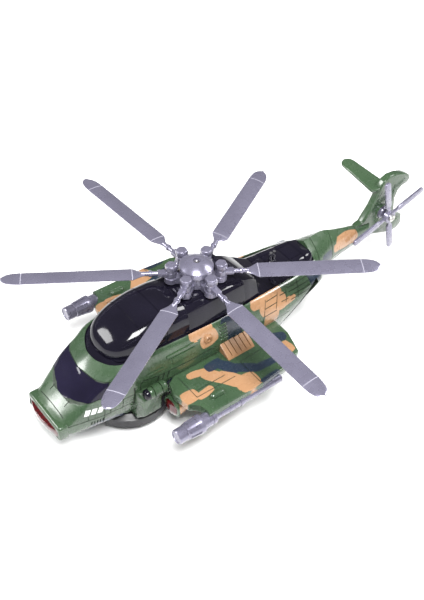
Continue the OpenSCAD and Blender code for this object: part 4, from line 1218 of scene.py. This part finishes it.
def blade(k):
    """One blade along +X from its bolt, then swung, turned and put in place."""
    tip = ROTOR_R - BOLT_R
    half = BLADE_W / 2
    shape = [(18, 2.0), (20, 2.6), (22, 3.7), (24, 5.1), (26, half), (26.5, half), (60, half), (99.6, half),
             (100.1, half), (tip - 9, 0.97 * half), (tip - 6, 0.89 * half), (tip - 3.8, 0.77 * half),
             (tip - 2.1, 0.61 * half), (tip - 0.9, 0.43 * half), (tip - 0.2, 0.26 * half),
             (tip, 0.18 * half)]
    rings = [[(x, y, z) for y, z in blade_section(w, 0.65)] for x, w in shape]
    wing_part = painted(skinned("airfoil", rings), LILAC)
    wing_part.data.materials.append(PALE_LINE)
    for face in wing_part.data.polygons:
        x = (face.center.x - ROTOR_X) / MM
        if face.normal.z > 0.5 and (26 < x < 26.5 or 99.6 < x < 100.1):
            face.material_index = 1
    pitch = Matrix.Translation((0, 0, 2.1)) @ Matrix.Rotation(math.radians(7), 4, "X")
    moved(wing_part, pitch)
    lug = turned("lug", [(0, 3.5), (0.4, 3.9), (4.5, 3.9), (4.95, 3.5), (4.95, 1.56), (0, 1.56)], (0, 0, 0),
                 (0, 0, 1), 40)
    neck = cut(bevelled(block("neck", (2.2, -2.4, 0.6), (9, 2.4, 4)), 0.5),
               turned("hole", [(0, 3.2), (8, 3.2)], (0, 0, -1), (0, 0, 1), 32))
    stem = turned("stem", [(0, 1.6), (4.9, 1.6), (5, 2.1), (5.5, 2.25), (6.6, 2.25), (7.1, 2.1), (7.2, 1.6),
                           (11.4, 1.6), (12.4, 0.9)], (8, 0, 2.3), (1, 0, 0), 24)
    parts = [painted(part, LILAC) for part in (lug, neck, stem)]
    whole = joined("blade_part", parts + [wing_part])
    swing = BLADE_SWING if k == 4 else 0
    return moved(whole, bolt_place(k, LUG_Z) @ Matrix.Rotation(math.radians(swing), 4, "Z"))


finished(hub(), "rotor_hub", "rotor", LILAC)
finished(cap(), "hub_cap", "rotor", LILAC)
finished(bolts(), "hinge_bolts", "rotor", LILAC)
for k in range(6):
    finished(blade(k), f"blade_{k + 1}", f"blade_{k + 1}", LILAC)

# ---------- materials of the CAD pieces that stay as they are ----------
RUBBER = rubber()
NYLON = satin("white_nylon", (0.72, 0.71, 0.67), 0.3, 0.45)
STEEL = metal("plated_steel", (0.56, 0.55, 0.53), 0.18, 0.38)
CHROME = metal("bright_plating", (0.78, 0.78, 0.80), 0.04, 0.12)
CAN = metal("motor_can", (0.52, 0.53, 0.55), 0.22, 0.42, (1, 1, 8))
KEPT = {"turntable": SATIN_BLACK, "turntable_ring": GREY, "drive_motor": CAN, "drive_pinion": NYLON,
        "drive_idler": NYLON, "drive_wheels": GREY, "drive_tyres": RUBBER, "rear_bracket": SATIN_BLACK,
        "rear_wheels": GREY, "rear_tyres": RUBBER, "battery_tray": SATIN_BLACK,
        "battery_cells": printed_sleeve(),
        "battery_door": PLAIN, "door_screw": STEEL, "switch_body": SATIN_BLACK, "switch_knob": GREY,
        "circuit_board": board_green(), "case_screws": STEEL, "gear_frame": GREY, "rotor_motor": CAN,
        "motor_pinion": NYLON, "idler_gear": NYLON, "idler_pin": STEEL, "mast": STEEL, "mast_gear": NYLON,
        "cover_pins": CHROME, "cap_screw": STEEL, "tail_rotor_screw": STEEL}
for node, paint in KEPT.items():
    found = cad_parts[node]
    for obj in found if isinstance(found, (list, tuple)) else [found]:
        painted(obj, paint)

# ---------- camera, light and floor ----------
HUB = Vector((ROTOR_X, 0, (HEAD_Z + 5) * MM))
CAMERA_OFFSET = Vector((0.2744, 0.3261, 0.3821))
AZIMUTH, PITCH, ROLL = (math.radians(angle) for angle in (138.24, 44.24, 4.98))


def camera():
    reach = math.cos(PITCH)
    back = Vector((math.sin(AZIMUTH) * reach, -math.cos(AZIMUTH) * reach, math.sin(PITCH)))
    level = (-back).cross(Vector((0, 0, 1))).normalized()
    upright = level.cross(-back)
    right = math.cos(ROLL) * level + math.sin(ROLL) * upright
    up = math.cos(ROLL) * upright - math.sin(ROLL) * level
    data = bpy.data.cameras.new("camera")
    data.lens, data.sensor_width = 51, 36
    data.clip_start, data.clip_end = 0.01, 20
    obj = bpy.data.objects.new("camera", data)
    turn = Matrix((right, up, back)).transposed().to_4x4()
    obj.matrix_world = Matrix.Translation(HUB + CAMERA_OFFSET) @ turn
    bpy.context.collection.objects.link(obj)
    bpy.context.scene.camera = obj


def soft_light(name, place, size, power):
    data = bpy.data.lights.new(name, "AREA")
    data.size, data.energy = size, power
    obj = bpy.data.objects.new(name, data)
    obj.location = place
    obj.rotation_euler = (Vector((0, 0, 0.05)) - Vector(place)).to_track_quat("-Z", "Y").to_euler()
    bpy.context.collection.objects.link(obj)


def floor():
    paint = Paint("floor_paint")
    paint.colour(paint.mix(paint.noise(60, 2), (0.88, 0.88, 0.88), (0.91, 0.91, 0.91))).rough(0.7, 0.8, 30)
    sheet = prism("floor", [(-1500, -1500), (1500, -1500), (1500, 1500), (-1500, 1500)], "z", -3, -0.02)
    sheet.data.materials.append(paint.bumps((40, 0.02)).material)


camera()
soft_light("key", (0.35, 0.45, 1.1), 0.42, 27)
soft_light("fill", (0.9, -0.6, 0.7), 0.4, 10)
soft_light("back", (-0.9, 0.3, 0.9), 0.4, 12)
world = bpy.data.worlds.new("studio")
bpy.context.scene.world = world
world.use_nodes = True
world.node_tree.nodes["Background"].inputs["Color"].default_value = (1, 1, 1, 1)
world.node_tree.nodes["Background"].inputs["Strength"].default_value = 0.24
floor()
bpy.context.scene.view_settings.view_transform = "Standard"
